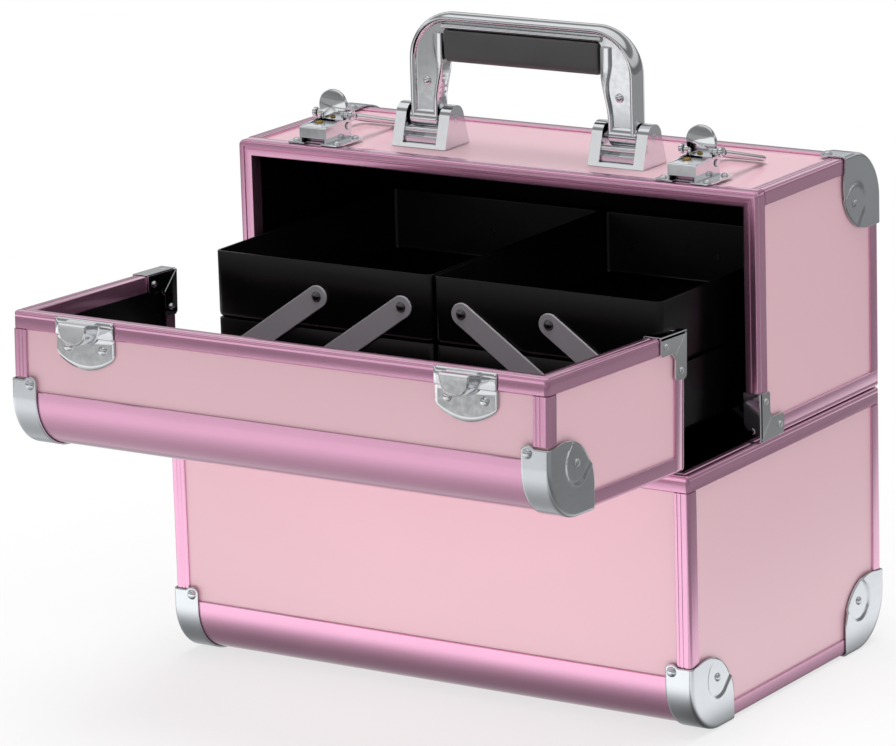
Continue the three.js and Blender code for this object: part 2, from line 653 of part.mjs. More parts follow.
// Wire bail: two arms and an end bar, drawn lying straight back, then turned about its pin.
function latchBail(x) {
  const half = BAIL_WIDTH / 2;
  const low = -BAIL_WIRE / 2;
  const high = BAIL_WIRE / 2;
  const shape = new THREE.Shape();
  const end = BAIL_LENGTH + high;
  const bend = end - BAIL_CORNER;
  const inside = BAIL_CORNER - BAIL_WIRE;
  shape.moveTo(-half, 0);
  shape.lineTo(-half + BAIL_WIRE, 0);
  shape.lineTo(-half + BAIL_WIRE, bend);
  shape.absarc(-half + BAIL_CORNER, bend, inside, Math.PI, Math.PI / 2, true);
  shape.lineTo(half - BAIL_CORNER, end - BAIL_WIRE);
  shape.absarc(half - BAIL_CORNER, bend, inside, Math.PI / 2, 0, true);
  shape.lineTo(half - BAIL_WIRE, 0);
  shape.lineTo(half, 0);
  shape.lineTo(half, bend);
  shape.absarc(half - BAIL_CORNER, bend, BAIL_CORNER, 0, Math.PI / 2, false);
  shape.lineTo(-half + BAIL_CORNER, end);
  shape.absarc(-half + BAIL_CORNER, bend, BAIL_CORNER, Math.PI / 2, Math.PI, false);
  const wire = prismZ(shape, low, high, 3);
  const eyes = [-1, 1].map((side) => rodX(BAIL_EYE, ...sorted(side * half, side * (half - BAIL_WIRE)), 0, 0));
  const bore = rodX(BAIL_PIN + PIN_PLAY, -BAIL_WIDTH, BAIL_WIDTH, 0, 0);
  const flat = geometryOf(cut(join(wire, ...eyes), bore));
  flat.rotateX(-BAIL_REST);
  flat.translate(x, BAIL_AXIS[0], BAIL_AXIS[1]);
  return solid(flat);
}

// Catch on the front cover's top: a plate with a curved end and a D-shaped hook nose.
function catchPlate(x) {
  const y = SEAM_Y;
  const half = CATCH_WIDTH / 2;
  const straight = CATCH_LENGTH - CATCH_CROWN;
  const outline = new THREE.Shape();
  outline.moveTo(x - half, y);
  outline.lineTo(x - half, y - straight);
  outline.quadraticCurveTo(x, y - CATCH_LENGTH - CATCH_CROWN, x + half, y - straight);
  outline.lineTo(x + half, y);
  const plate = prismZ(outline, PLATE_LOW, PLATE_HIGH, 6);
  const nose = new THREE.Shape();
  const noseHalf = NOSE_WIDTH / 2;
  nose.moveTo(x - noseHalf, y);
  nose.lineTo(x - noseHalf, y - NOSE_LENGTH + noseHalf);
  nose.absarc(x, y - NOSE_LENGTH + noseHalf, noseHalf, Math.PI, 2 * Math.PI, false);
  nose.lineTo(x + noseHalf, y);
  const hook = prismZ(nose, PLATE_HIGH - SINK, PLATE_LOW + NOSE_HEIGHT, 5);
  const rivets = [-1, 1].map((side) =>
    dome([x + side * CATCH_RIVET_X, y - CATCH_RIVET_Y, PLATE_HIGH], [0, 0, 1]),
  );
  return join(plate, hook, ...rivets);
}

// ---------------------------------------------------------------- carry handle

const HANDLE_Z = TOP + HANDLE_AXIS_UP;
const LEG_MIDDLE = HANDLE_SPAN / 2 - HANDLE_LEG / 2;

// Bracket with two rounded ears; the bow's axle turns in it.
function clevis(side) {
  const x = side * LEG_MIDDLE;
  const half = CLEVIS_WIDTH / 2;
  const low = PANEL_TOP + GAP;
  const shape = new THREE.Shape();
  const foot = CLEVIS_DEPTH / 2;
  shape.moveTo(HANDLE_Y - foot, low);
  shape.lineTo(HANDLE_Y + foot, low);
  shape.lineTo(HANDLE_Y + CLEVIS_TOP, HANDLE_Z);
  shape.absarc(HANDLE_Y, HANDLE_Z, CLEVIS_TOP, 0, Math.PI, false);
  const body = prismX(shape, x - half, x + half, 5);
  const slotHalf = HANDLE_LEG / 2 + GAP;
  const [front, rear] = [HANDLE_Y - CLEVIS_DEPTH, HANDLE_Y + CLEVIS_DEPTH];
  const floor = HANDLE_Z - CLEVIS_SLOT;
  const slot = box(x - slotHalf, x + slotHalf, front, rear, floor, HANDLE_Z + CLEVIS_DEPTH);
  const bore = rodX(AXLE + PIN_PLAY, x - half - 1, x + half + 1, HANDLE_Y, HANDLE_Z, 14);
  const sill = floor + GAP - WINDOW_HEIGHT;
  const windowHalf = WINDOW_WIDTH / 2;
  const windowEnd = HANDLE_Y - foot + WINDOW_DEPTH;
  const window = box(x - windowHalf, x + windowHalf, front, windowEnd, sill, floor + GAP);
  return cut(body, slot, bore, window);
}

// The bow: a flat arch with two legs, each on its own axle.
function handleBow() {
  const half = HANDLE_SPAN / 2;
  const top = HANDLE_Z + HANDLE_RISE;
  const innerTop = top - HANDLE_BAR;
  const eye = HANDLE_THICK / 2 + 0.5;
  const shape = new THREE.Shape();
  shape.moveTo(-half, HANDLE_Z);
  shape.lineTo(-half, top - HANDLE_CORNER);
  shape.absarc(-half + HANDLE_CORNER, top - HANDLE_CORNER, HANDLE_CORNER, Math.PI, Math.PI / 2, true);
  shape.lineTo(half - HANDLE_CORNER, top);
  shape.absarc(half - HANDLE_CORNER, top - HANDLE_CORNER, HANDLE_CORNER, Math.PI / 2, 0, true);
  shape.lineTo(half, HANDLE_Z);
  shape.lineTo(half - HANDLE_LEG, HANDLE_Z);
  shape.lineTo(half - HANDLE_LEG, HANDLE_Z + LEG_STRAIGHT);
  shape.lineTo(half - HANDLE_LEG - LEG_TAPER, innerTop);
  shape.lineTo(-half + HANDLE_LEG + LEG_TAPER, innerTop);
  shape.lineTo(-half + HANDLE_LEG, HANDLE_Z + LEG_STRAIGHT);
  shape.lineTo(-half + HANDLE_LEG, HANDLE_Z);
  const thick = HANDLE_THICK / 2;
  const arch = prismY(shape, HANDLE_Y - thick, HANDLE_Y + thick, 5);
  const feet = [-1, 1].map((side) => {
    const x = side * LEG_MIDDLE;
    const axleHalf = CLEVIS_WIDTH / 2 + 2 * GAP;
    return join(
      rodX(eye, x - HANDLE_LEG / 2, x + HANDLE_LEG / 2, HANDLE_Y, HANDLE_Z, 14),
      rodX(AXLE, x - axleHalf, x + axleHalf, HANDLE_Y, HANDLE_Z, 14),
    );
  });
  return join(arch, ...feet);
}

// Grip insert under the bow's top bar, between the legs.
function handleGrip() {
  const half = HANDLE_SPAN / 2 - HANDLE_LEG - LEG_TAPER - 2 * GAP;
  const top = HANDLE_Z + HANDLE_RISE - HANDLE_BAR - GAP;
  const thick = HANDLE_THICK / 2;
  const [y0, y1] = [HANDLE_Y - thick, HANDLE_Y + thick];
  const shape = roundedOutline(y0, y1, top - GRIP_HEIGHT, top, [GRIP_ROUND, GRIP_ROUND, 0, 0]);
  return prismX(shape, -half, half, 3);
}

// ---------------------------------------------------------------- cantilever trays

const LEAN = THREE.MathUtils.degToRad(ARM_ANGLE);
const TRAY_FRONT = -TRAY_DEPTH / 2;
const TRAY_STEP = TRAY_HEIGHT + TRAY_LAYER;
const UPPER_PIVOT_Z = UPPER_TRAY_TOP - PIVOT_DROP;
const LOWER_PIVOT_Z = UPPER_PIVOT_Z - TRAY_STEP;
const TRAY_INNER = TRAY_MIDDLE_GAP / 2;

// Pivots of one stack, for the right-hand stack; x is mirrored for the left.
const PIVOT = (() => {
  const across = (dz) => dz / Math.tan(LEAN);
  const upper = TRAY_INNER + UPPER_PIVOT_INSET;
  const lower = upper + across(TRAY_STEP);
  const base = lower + across(LOWER_PIVOT_Z - BASE_PIVOT_Z);
  return {
    long: { upper: [upper, UPPER_PIVOT_Z], lower: [lower, LOWER_PIVOT_Z], base: [base, BASE_PIVOT_Z] },
    upperArm: { top: [upper + ARM_PITCH, UPPER_PIVOT_Z], foot: [lower + ARM_PITCH, LOWER_PIVOT_Z] },
    lowerArm: { top: [lower - ARM_PITCH, LOWER_PIVOT_Z], foot: [base - ARM_PITCH, BASE_PIVOT_Z] },
  };
})();

function trayOutline(x0, x1, y0, y1, radius) {
  return roundedOutline(x0, x1, y0, y1, [radius, radius, radius, radius]);
}

function tray(side, top, pivots) {
  const x0 = side > 0 ? TRAY_INNER : -TRAY_INNER - TRAY_WIDTH;
  const x1 = x0 + TRAY_WIDTH;
  const low = top - TRAY_HEIGHT;
  const outer = prismZ(trayOutline(x0, x1, TRAY_FRONT, -TRAY_FRONT, TRAY_CORNER), low, top, 2);
  const t = TRAY_WALL;
  const inner = prismZ(
    trayOutline(x0 + t, x1 - t, TRAY_FRONT + t, -TRAY_FRONT - t, TRAY_CORNER - t),
    low + t,
    top + 1,
    2,
  );
  const bores = pivots.map(([x, z]) => rodY(SHANK + SHANK_PLAY, -DEPTH, DEPTH, side * x, z, 10));
  return cut(outer, inner, ...bores);
}

// A small step back into the arm, so that a shank and its arm share some material.
const inOut = (inward, end) => (inward ? -end : end) * SINK;

// A flat steel arm through the given pivots. `end` is -1 on the front of the trays, +1 at the rear.
// `reaches` says how far each rivet's shank goes inwards (positive) or outwards (negative).
function arm(side, end, pivots, reaches) {
  const face = end * (-TRAY_FRONT + GAP);
  const outer = end * (-TRAY_FRONT + GAP + ARM_THICK);
  const [a, b] = [pivots[0], pivots[pivots.length - 1]];
  const angle = Math.atan2(b[1] - a[1], side * (b[0] - a[0]));
  const length = Math.hypot(b[0] - a[0], b[1] - a[1]);
  const radius = ARM_WIDTH / 2;
  const shape = new THREE.Shape();
  shape.absarc(0, 0, radius, Math.PI / 2, 1.5 * Math.PI, false);
  shape.lineTo(length, -radius);
  shape.absarc(length, 0, radius, -Math.PI / 2, Math.PI / 2, false);
  shape.lineTo(0, radius);
  const bar = geometryOf(prismY(shape, ...sorted(face, outer), 3));
  bar.rotateY(-angle);
  bar.translate(side * a[0], 0, a[1]);
  const rivets = pivots.flatMap(([x, z], i) => {
    const inward = reaches[i] > 0;
    const from = inward ? face : outer;
    const to = from - end * reaches[i];
    const headAt = inward ? outer : face;
    const normal = inward ? end : -end;
    const shank = rodY(SHANK, ...sorted(from - inOut(inward, end), to), side * x, z, 10);
    return [shank, dome([side * x, headAt, z], [0, normal, 0], ARM_RIVET, ARM_RIVET_RISE)];
  });
  return join(solid(bar), ...rivets);
}

// Spacer bosses that carry the arms' lowest pivots, moulded onto the base's lining.
function liningWithBosses() {
  const wall = -FRONT - INSET - PANEL - GAP - LINING;
  const tip = -TRAY_FRONT + 2 * GAP + ARM_THICK;
  const bosses = [];
  for (const side of [-1, 1]) {
    for (const end of [-1, 1]) {
      for (const [x, z] of [PIVOT.long.base, PIVOT.lowerArm.foot]) {
        const boss = rodY(BOSS_RADIUS, ...sorted(end * tip, end * (wall + GAP)), side * x, z, 12);
        const hole = sorted(end * (tip - 1), end * (tip + BOSS_BORE));
        bosses.push(cut(boss, rodY(SHANK + SHANK_PLAY, ...hole, side * x, z, 10)));
      }
    }
  }
  return join(lining(HOUSINGS.base), ...bosses);
}

// ---------------------------------------------------------------- scene

const trainCase = new THREE.Group();
trainCase.name = "train_case";

function add(group, name, manifold, material) {
  const [color, roughness, metalness] = MATERIALS[material];
  const look = new THREE.MeshStandardMaterial({ color, roughness, metalness });
  const mesh = new THREE.Mesh(geometryOf(manifold), look);
  mesh.name = name;
  group.add(mesh);
  return mesh;
}

const SIDES = [
  ["left", -1],
  ["right", 1],
];

function addBase(group) {
  const housing = HOUSINGS.base;
  const floorReach = PROFILE_REACH + GAP;
  const floorRoom = box(
    -WIDTH,
    WIDTH,
    FRONT + floorReach,
    REAR - floorReach,
    BOTTOM,
    BOTTOM + INSET + PANEL,
  );
  const inner = HALF_W - INSET - PANEL - GAP;
  const between = HALF_W - CAP_TAB - 3 * GAP; // the floor is rebated over the edge strips and caps
  const ys = [FRONT + floorReach + GAP, REAR - floorReach - GAP];
  const floor = join(box(-inner, inner, ...ys, GAP, PANEL), box(-between, between, ...ys, 0, PANEL));
  const sides = box(-inner - GAP, inner + GAP, FRONT + 1, REAR - 1, BOTTOM, INSET + PANEL);
  const walls = cut(panels(housing), floorRoom.intersect(sides));
  add(group, "base_panels", walls, "panel");
  add(group, "base_floor", floor, "panel");
  add(group, "base_lining", liningWithBosses(), "lining");
  const [frontProfile, rearProfile] = curvedProfiles(housing);
  add(group, "base_front_profile", frontProfile, "anodised");
  add(group, "base_rear_profile", rearProfile, "anodised");
  add(group, "base_frame", baseFrame(), "anodised");
  for (const [name, side] of SIDES) {
    add(group, `base_cap_front_${name}`, cornerCap(side, FRONT, 1, BOTTOM, 1), "steel");
    add(group, `base_cap_rear_${name}`, cornerCap(side, REAR, -1, BOTTOM, 1), "steel");
  }
  add(group, "front_hinge_base_leaf", hingeLeaf(-1, true), "steel");
  add(group, "rear_hinge_base_leaf", hingeLeaf(1, true), "steel");
}

function addCover(group, name, facing) {
  const housing = HOUSINGS[name];
  const back = facing > 0 ? housing.y[0] : housing.y[1];
  add(group, `${name}_panels`, panels(housing), "panel");
  add(group, `${name}_lining`, lining(housing), "lining");
  add(group, `${name}_profile`, curvedProfiles(housing)[0], "anodised");
  add(group, `${name}_frame`, coverFrame(housing, facing), "anodised");
  for (const [word, side] of SIDES) {
    add(group, `${name}_cap_${word}`, cornerCap(side, back, facing, TOP, -1), "steel");
    add(group, `${name}_bracket_${word}`, cornerBracket(side, housing, facing), "steel");
  }
}

addBase(trainCase);

// The front cover is drawn closed, then folded forward about its hinge.
const frontCover = new THREE.Group();
frontCover.position.set(0, FRONT - HINGE_OUT, HINGE_Z);
frontCover.rotation.x = THREE.MathUtils.degToRad(OPEN_ANGLE);
const frontParts = new THREE.Group();
frontParts.position.set(0, -frontCover.position.y, -frontCover.position.z);
frontCover.add(frontParts);
trainCase.add(frontCover);
addCover(frontParts, "front_cover", 1);
for (const [name, side] of SIDES) {
  add(frontParts, `catch_${name}`, catchPlate(side * LATCH_OFFSET), "chrome");
}
add(frontParts, "front_hinge_cover_leaf", hingeLeaf(-1, false), "steel");

addCover(trainCase, "rear_cover", -1);
add(trainCase, "rear_hinge_cover_leaf", hingeLeaf(1, false), "steel");
for (const [name, side] of SIDES) {
  const x = side * LATCH_OFFSET;
  add(trainCase, `latch_plate_${name}`, latchPlate(x), "chrome");
  add(trainCase, `latch_lock_${name}`, lockCylinder(x), "brass");
  add(trainCase, `latch_lever_${name}`, latchLever(x), "chrome");
  add(trainCase, `latch_bail_${name}`, latchBail(x), "chrome");
  add(trainCase, `handle_bracket_${name}`, clevis(side), "chrome");
}
add(trainCase, "handle_bow", handleBow(), "chrome");
add(trainCase, "handle_grip", handleGrip(), "grip");

const WALL_REACH = TRAY_WALL + GAP + SHANK_PAST_WALL; // through a tray's wall
const BOSS_REACH = -BOSS_GRIP; // outwards, into a boss on the lining

for (const [name, side] of SIDES) {
  const { long, upperArm, lowerArm } = PIVOT;
  const upperBores = [long.upper, upperArm.top];
  const lowerBores = [long.lower, upperArm.foot, lowerArm.top];
  add(trainCase, `tray_upper_${name}`, tray(side, UPPER_TRAY_TOP, upperBores), "lining");
  add(trainCase, `tray_lower_${name}`, tray(side, UPPER_TRAY_TOP - TRAY_STEP, lowerBores), "lining");
  const arms = {
    long: [[long.upper, long.lower, long.base], [WALL_REACH, WALL_REACH, BOSS_REACH]],
    upper: [[upperArm.top, upperArm.foot], [WALL_REACH, WALL_REACH]],
    lower: [[lowerArm.top, lowerArm.foot], [WALL_REACH, BOSS_REACH]],
  };
  for (const [where, end] of [["front", -1], ["rear", 1]]) {
    for (const [kind, [pivots, reaches]] of Object.entries(arms)) {
      add(trainCase, `arm_${kind}_${name}_${where}`, arm(side, end, pivots, reaches), "arm");
    }
  }
}

export default trainCase;
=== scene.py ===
"""Looks of the makeup train case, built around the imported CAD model.

Lengths are millimetres in this script and metres in Blender. +X is right, +Y rear and +Z up, and the
origin is the centre of the floor panel's underside. The front cover's pieces are drawn closed and
then folded open about its hinge, as in the CAD.
"""

import json
import math

import bmesh
import bpy
from mathutils import Matrix, Vector


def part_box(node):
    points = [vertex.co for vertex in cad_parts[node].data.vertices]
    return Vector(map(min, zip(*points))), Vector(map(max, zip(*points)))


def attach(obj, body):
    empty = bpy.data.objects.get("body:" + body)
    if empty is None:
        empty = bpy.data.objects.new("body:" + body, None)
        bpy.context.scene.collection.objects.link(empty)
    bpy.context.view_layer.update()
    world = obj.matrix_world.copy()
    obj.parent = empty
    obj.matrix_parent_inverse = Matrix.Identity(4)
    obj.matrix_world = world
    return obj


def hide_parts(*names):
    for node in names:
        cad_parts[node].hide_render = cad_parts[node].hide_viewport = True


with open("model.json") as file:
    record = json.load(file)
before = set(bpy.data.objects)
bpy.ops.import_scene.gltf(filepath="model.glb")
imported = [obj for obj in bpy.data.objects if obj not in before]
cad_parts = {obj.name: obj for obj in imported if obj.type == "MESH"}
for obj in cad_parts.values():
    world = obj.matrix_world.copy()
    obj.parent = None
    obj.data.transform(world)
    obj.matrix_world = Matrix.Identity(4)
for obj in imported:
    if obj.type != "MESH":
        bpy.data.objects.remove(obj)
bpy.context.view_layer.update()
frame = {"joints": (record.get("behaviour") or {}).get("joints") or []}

MM = 0.001

# ------------------------------------------------------------------ sizes read from the frame


def extent(node):
    """Lowest and highest corner of a CAD node, in millimetres."""
    low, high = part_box(node)
    return low / MM, high / MM


def joint(name):
    """Place of a joint's axis, in millimetres."""
    found = next(j for j in frame["joints"] if j["name"] == name)
    return Vector(found["pos_m"]) / MM


base_low, base_high = extent("base_frame")
cover_low, cover_high = extent("rear_cover_frame")
HALF_W = base_high.x
FRONT = base_low.y
REAR = base_high.y
BOTTOM = base_low.z
BASE_TOP = base_high.z
COVER_BOTTOM = cover_low.z
TOP = cover_high.z
REAR_SEAM = cover_low.y  # seam face of the rear cover
FRONT_SEAM = REAR_SEAM - 1.5  # seam face of the front cover, closed

INSET = 1.2  # panels lie this far inside the extrusions' outer faces
PANEL = 4.0
LINING = 1.2
WALL = INSET + PANEL + 0.2  # from the outside to the lining's outer face
RADIUS = 28.0  # of the long rounded edges
REACH = 32.0  # of the curved profiles along each face
PROFILE_WALL = 1.0

FRONT_HINGE = joint("front_cover_fold")
REAR_HINGE = joint("rear_cover_fold")
OPEN_ANGLE = math.radians(88)
FOLD = (
    Matrix.Translation(FRONT_HINGE)
    @ Matrix.Rotation(OPEN_ANGLE, 4, "X")
    @ Matrix.Translation(-FRONT_HINGE)
)

# ------------------------------------------------------------------ shapes


class Shape:
    """Vertices and faces in millimetres. `grain` holds (across, along) of an extrusion's surface."""

    def __init__(self, verts=(), faces=(), grain=None):
        self.verts = [Vector(v) for v in verts]
        self.faces = [tuple(f) for f in faces]
        self.grain = list(grain) if grain else [(0.0, 0.0)] * len(self.verts)

    def __add__(self, other):
        shift = len(self.verts)
        moved = [tuple(i + shift for i in f) for f in other.faces]
        return Shape(self.verts + other.verts, self.faces + moved, self.grain + other.grain)

    def moved(self, matrix):
        return Shape([matrix @ v for v in self.verts], self.faces, self.grain)

    def shifted(self, x=0.0, y=0.0, z=0.0):
        return self.moved(Matrix.Translation((x, y, z)))

    def mirrored(self, axis):
        scale = [-1 if name == axis else 1 for name in "xyz"]
        return self.moved(Matrix.Diagonal((*scale, 1)))


def total(shapes):
    result = Shape()
    for shape in shapes:
        result = result + shape
    return result


def arc(centre, radius, start, end, steps):
    """Points on an arc, angles in degrees."""
    points = []
    for i in range(steps + 1):
        angle = math.radians(start + (end - start) * i / steps)
        points.append((centre[0] + radius * math.cos(angle), centre[1] + radius * math.sin(angle)))
    return points


def lengths(points):
    """Running length along a list of 2-D points."""
    run = [0.0]
    for a, b in zip(points, points[1:]):
        run.append(run[-1] + math.dist(a, b))
    return run


def prism(outline, axis, start, end):
    """A closed 2-D outline pushed along an axis. The outline's axes are the other two, in order."""

    def at(p, t):
        return {"x": (t, p[0], p[1]), "y": (p[0], t, p[1]), "z": (p[0], p[1], t)}[axis]

    count = len(outline)
    verts = [at(p, start) for p in outline] + [at(p, end) for p in outline]
    faces = [tuple(range(count)), tuple(range(2 * count - 1, count - 1, -1))]
    for i in range(count):
        j = (i + 1) % count
        faces.append((i, j, j + count, i + count))
    run = lengths(outline)
    grain = [(r, start) for r in run] + [(r, end) for r in run]
    return Shape(verts, faces, grain)


def block(x0, x1, y0, y1, z0, z1):
    return prism([(y0, z0), (y1, z0), (y1, z1), (y0, z1)], "x", x0, x1)


def sweep(section, corners, up, closed=False, radius=0.0, steps=6):
    """An extrusion bent along a flat path with mitred corners.

    A section point is (inward, below): inward from the path, below the face whose normal is `up`.
    The path runs anticlockwise seen from `up`. Its outer corners are rounded to `radius`.
    """
    up = Vector(up)
    points = [Vector(c) for c in corners]
    count = len(points)
    stations = []
    run = 0.0
    for i, point in enumerate(points):
        before = (point - points[i - 1]).normalized()
        after = (points[(i + 1) % count] - point).normalized()
        if i > 0:
            run += (point - points[i - 1]).length
        if not closed and i == 0:
            before = after
        if not closed and i == count - 1:
            after = before
        inward_a, inward_b = up.cross(before), up.cross(after)
        mitre = (inward_a + inward_b) / (1 + inward_a.dot(inward_b))
        bend = inward_a.dot(inward_b) < 0.999
        if not bend or radius == 0:
            stations.append((point, mitre, None, run))
            continue
        centre = point + mitre * radius
        for k in range(steps + 1):
            stations.append((centre, mitre, -inward_a.slerp(inward_b, k / steps), run))

    def at(station, inward, below):
        origin, mitre, outward, _ = station
        if outward is None:
            return origin + mitre * inward - up * below
        if inward < radius:
            return origin + outward * (radius - inward) - up * below
        return origin + mitre * (inward - radius) - up * below

    size = len(section)
    across = lengths(section)
    verts, grain, faces = [], [], []
    for station in stations:
        for k, (inward, below) in enumerate(section):
            verts.append(at(station, inward, below))
            grain.append((across[k], station[3]))
    rings = len(stations)
    for i in range(rings if closed else rings - 1):
        j = (i + 1) % rings
        for k in range(size):
            m = (k + 1) % size
            faces.append((i * size + k, i * size + m, j * size + m, j * size + k))
    if not closed:
        faces.append(tuple(range(size)))
        faces.append(tuple((rings - 1) * size + k for k in reversed(range(size))))
    return Shape(verts, faces, grain)


def lathe(profile, at, direction, segments=24):
    """Turns (radius, height) points, both ends on the axis, about a line through `at`."""
    turn = Vector((0, 0, 1)).rotation_difference(Vector(direction)).to_matrix().to_4x4()
    inner = profile[1:-1]
    verts = [(0, 0, profile[0][1])]
    for radius, height in inner:
        for k in range(segments):
            angle = 2 * math.pi * k / segments
            verts.append((radius * math.cos(angle), radius * math.sin(angle), height))
    verts.append((0, 0, profile[-1][1]))
    last = len(verts) - 1
    faces = []
    for k in range(segments):
        m = (k + 1) % segments
        faces.append((0, 1 + m, 1 + k))
        for i in range(len(inner) - 1):
            a, b = 1 + i * segments, 1 + (i + 1) * segments
            faces.append((a + k, a + m, b + m, b + k))
        top = 1 + (len(inner) - 1) * segments
        faces.append((top + k, top + m, last))
    return Shape(verts, faces).moved(Matrix.Translation(Vector(at)) @ turn)


def rod(radius, start, end, segments=24, edge=0.25):
    """A round bar between two points, its ends slightly chamfered."""
    start, end = Vector(start), Vector(end)
    length = (end - start).length
    profile = [
        (0, 0),
        (radius - edge, 0),
        (radius, edge),
        (radius, length - edge),
        (radius - edge, length),
        (0, length),
    ]
    return lathe(profile, start, (end - start) / length, segments)


def rivet(at, normal, radius=2.4, height=1.5, sink=0.4):
    """A domed rivet head with a narrow flat brim."""
    profile = [(0, -sink), (radius, -sink), (radius, 0.12)]
    profile += [(radius * 0.93 * math.cos(a), 0.2 + height * math.sin(a)) for a in
                [math.pi / 2 * k / 5 for k in range(5)]]
    profile.append((0, 0.2 + height))
    return lathe(profile, at, normal, 20)


def loft(loops, wrap_ends=True):
    """Skins a list of equally long vertex loops, the first and last closed flat."""
    size = len(loops[0])
    verts = [v for loop in loops for v in loop]
    faces = []
    for i in range(len(loops) - 1):
        for k in range(size):
            m = (k + 1) % size
            faces.append((i * size + k, i * size + m, (i + 1) * size + m, (i + 1) * size + k))
    if wrap_ends:
        faces.append(tuple(reversed(range(size))))
        faces.append(tuple((len(loops) - 1) * size + k for k in range(size)))
    return Shape(verts, faces)


def grid(rows):
    """An open sheet through rows of points."""
    width = len(rows[0])
    verts = [v for row in rows for v in row]
    faces = []
    for i in range(len(rows) - 1):
        for k in range(width - 1):
            a = i * width + k
            faces.append((a, a + 1, a + width + 1, a + width))
    return Shape(verts, faces)


def make(name, shape, slot, body, stands_for=(), fold=False, bevel=0.0, segments=2, sheet=0.0, cut=None):
    """Turns a shape into a finished object riding on a CAD body."""
    if fold:
        shape = shape.moved(FOLD)
    mesh = bpy.data.meshes.new(name)
    mesh.from_pydata([v * MM for v in shape.verts], [], shape.faces)
    grain = mesh.attributes.new("grain", "FLOAT_VECTOR", "POINT")
    grain.data.foreach_set("vector", [c for a, b in shape.grain for c in (a, b, 0.0)])
    work = bmesh.new()
    work.from_mesh(mesh)
    bmesh.ops.remove_doubles(work, verts=work.verts, dist=2e-6)
    bmesh.ops.dissolve_degenerate(work, edges=work.edges, dist=1e-6)
    bmesh.ops.recalc_face_normals(work, faces=work.faces)
    work.to_mesh(mesh)
    work.free()
    mesh.shade_smooth()
    mesh.set_sharp_from_angle(angle=math.radians(34))
    mesh.materials.append(MATERIALS[slot])
    piece = bpy.data.objects.new(name, mesh)
    bpy.context.scene.collection.objects.link(piece)
    if sheet:
        solidify = piece.modifiers.new("thickness", "SOLIDIFY")
        solidify.thickness = sheet * MM
        solidify.offset = -1
        solidify.use_even_offset = True
    if cut is not None:
        cut_away(piece, cut.moved(FOLD) if fold else cut)
    if bevel:
        rounding = piece.modifiers.new("rounding", "BEVEL")
        rounding.width = bevel * MM
        rounding.segments = segments
        rounding.limit_method = "ANGLE"
        rounding.angle_limit = math.radians(34)
        rounding.harden_normals = True
    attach(piece, body)
    if stands_for:
        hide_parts(*stands_for)
    return piece


def cut_away(piece, shape):
    """Cuts a shape out of a piece's mesh for good."""
    mesh = bpy.data.meshes.new("cutter")
    mesh.from_pydata([v * MM for v in shape.verts], [], shape.faces)
    work = bmesh.new()
    work.from_mesh(mesh)
    bmesh.ops.recalc_face_normals(work, faces=work.faces)
    work.to_mesh(mesh)
    work.free()
    cutter = bpy.data.objects.new("cutter", mesh)
    bpy.context.scene.collection.objects.link(cutter)
    boolean = piece.modifiers.new("cut", "BOOLEAN")
    boolean.object = cutter
    boolean.operation = "DIFFERENCE"
    boolean.solver = "EXACT"
    boolean.use_self = True
    bpy.context.view_layer.update()
    graph = bpy.context.evaluated_depsgraph_get()
    result = bpy.data.meshes.new_from_object(piece.evaluated_get(graph))
    piece.modifiers.clear()
    old = piece.data
    piece.data = result
    bpy.data.meshes.remove(old)
    bpy.data.objects.remove(cutter)
    bpy.data.meshes.remove(mesh)
    result.shade_smooth()
    result.set_sharp_from_angle(angle=math.radians(34))


# ------------------------------------------------------------------ materials


def new_material(name):
    material = bpy.data.materials.new(name)
    material.use_nodes = True
    nodes, links = material.node_tree.nodes, material.node_tree.links
    nodes.clear()
    output = nodes.new("ShaderNodeOutputMaterial")
    shader = nodes.new("ShaderNodeBsdfPrincipled")
    links.new(shader.outputs["BSDF"], output.inputs["Surface"])
    return material, nodes, links, shader


def srgb(red, green, blue):
    """Linear colour from 0-255 display values."""

    def linear(value):
        value /= 255
        return value / 12.92 if value <= 0.04045 else ((value + 0.055) / 1.055) ** 2.4

    return (linear(red), linear(green), linear(blue), 1.0)


def noise(nodes, links, vector, scale, detail=3.0, roughness=0.5):
    texture = nodes.new("ShaderNodeTexNoise")
    texture.inputs["Scale"].default_value = scale
    texture.inputs["Detail"].default_value = detail
    texture.inputs["Roughness"].default_value = roughness
    links.new(vector, texture.inputs["Vector"])
    return texture.outputs["Fac"]


def ramp(nodes, links, value, low, high, out_low, out_high):
    """Maps a value's range onto another, clamped."""
    node = nodes.new("ShaderNodeMapRange")
    for name, number in zip(("From Min", "From Max", "To Min", "To Max"), (low, high, out_low, out_high)):
        node.inputs[name].default_value = number
    links.new(value, node.inputs["Value"])
    return node.outputs["Result"]


def blend_colours(nodes, links, value, first, second):
    mix = nodes.new("ShaderNodeMix")
    mix.data_type = "RGBA"
    links.new(value, mix.inputs["Factor"])
    mix.inputs[6].default_value = first
    mix.inputs[7].default_value = second
    return mix.outputs[2]


def bump(nodes, links, height, strength, distance, shader, base=None):
    node = nodes.new("ShaderNodeBump")
    node.inputs["Strength"].default_value = strength
    node.inputs["Distance"].default_value = distance * MM
    links.new(height, node.inputs["Height"])
    if base is not None:
        links.new(base, node.inputs["Normal"])
    links.new(node.outputs["Normal"], shader.inputs["Normal"])
    return node.outputs["Normal"]


def stretched(nodes, links, vector, scale):
    mapping = nodes.new("ShaderNodeMapping")
    mapping.inputs["Scale"].default_value = scale
    links.new(vector, mapping.inputs["Vector"])
    return mapping.outputs["Vector"]


def object_space(nodes):
    return nodes.new("ShaderNodeTexCoord").outputs["Object"]


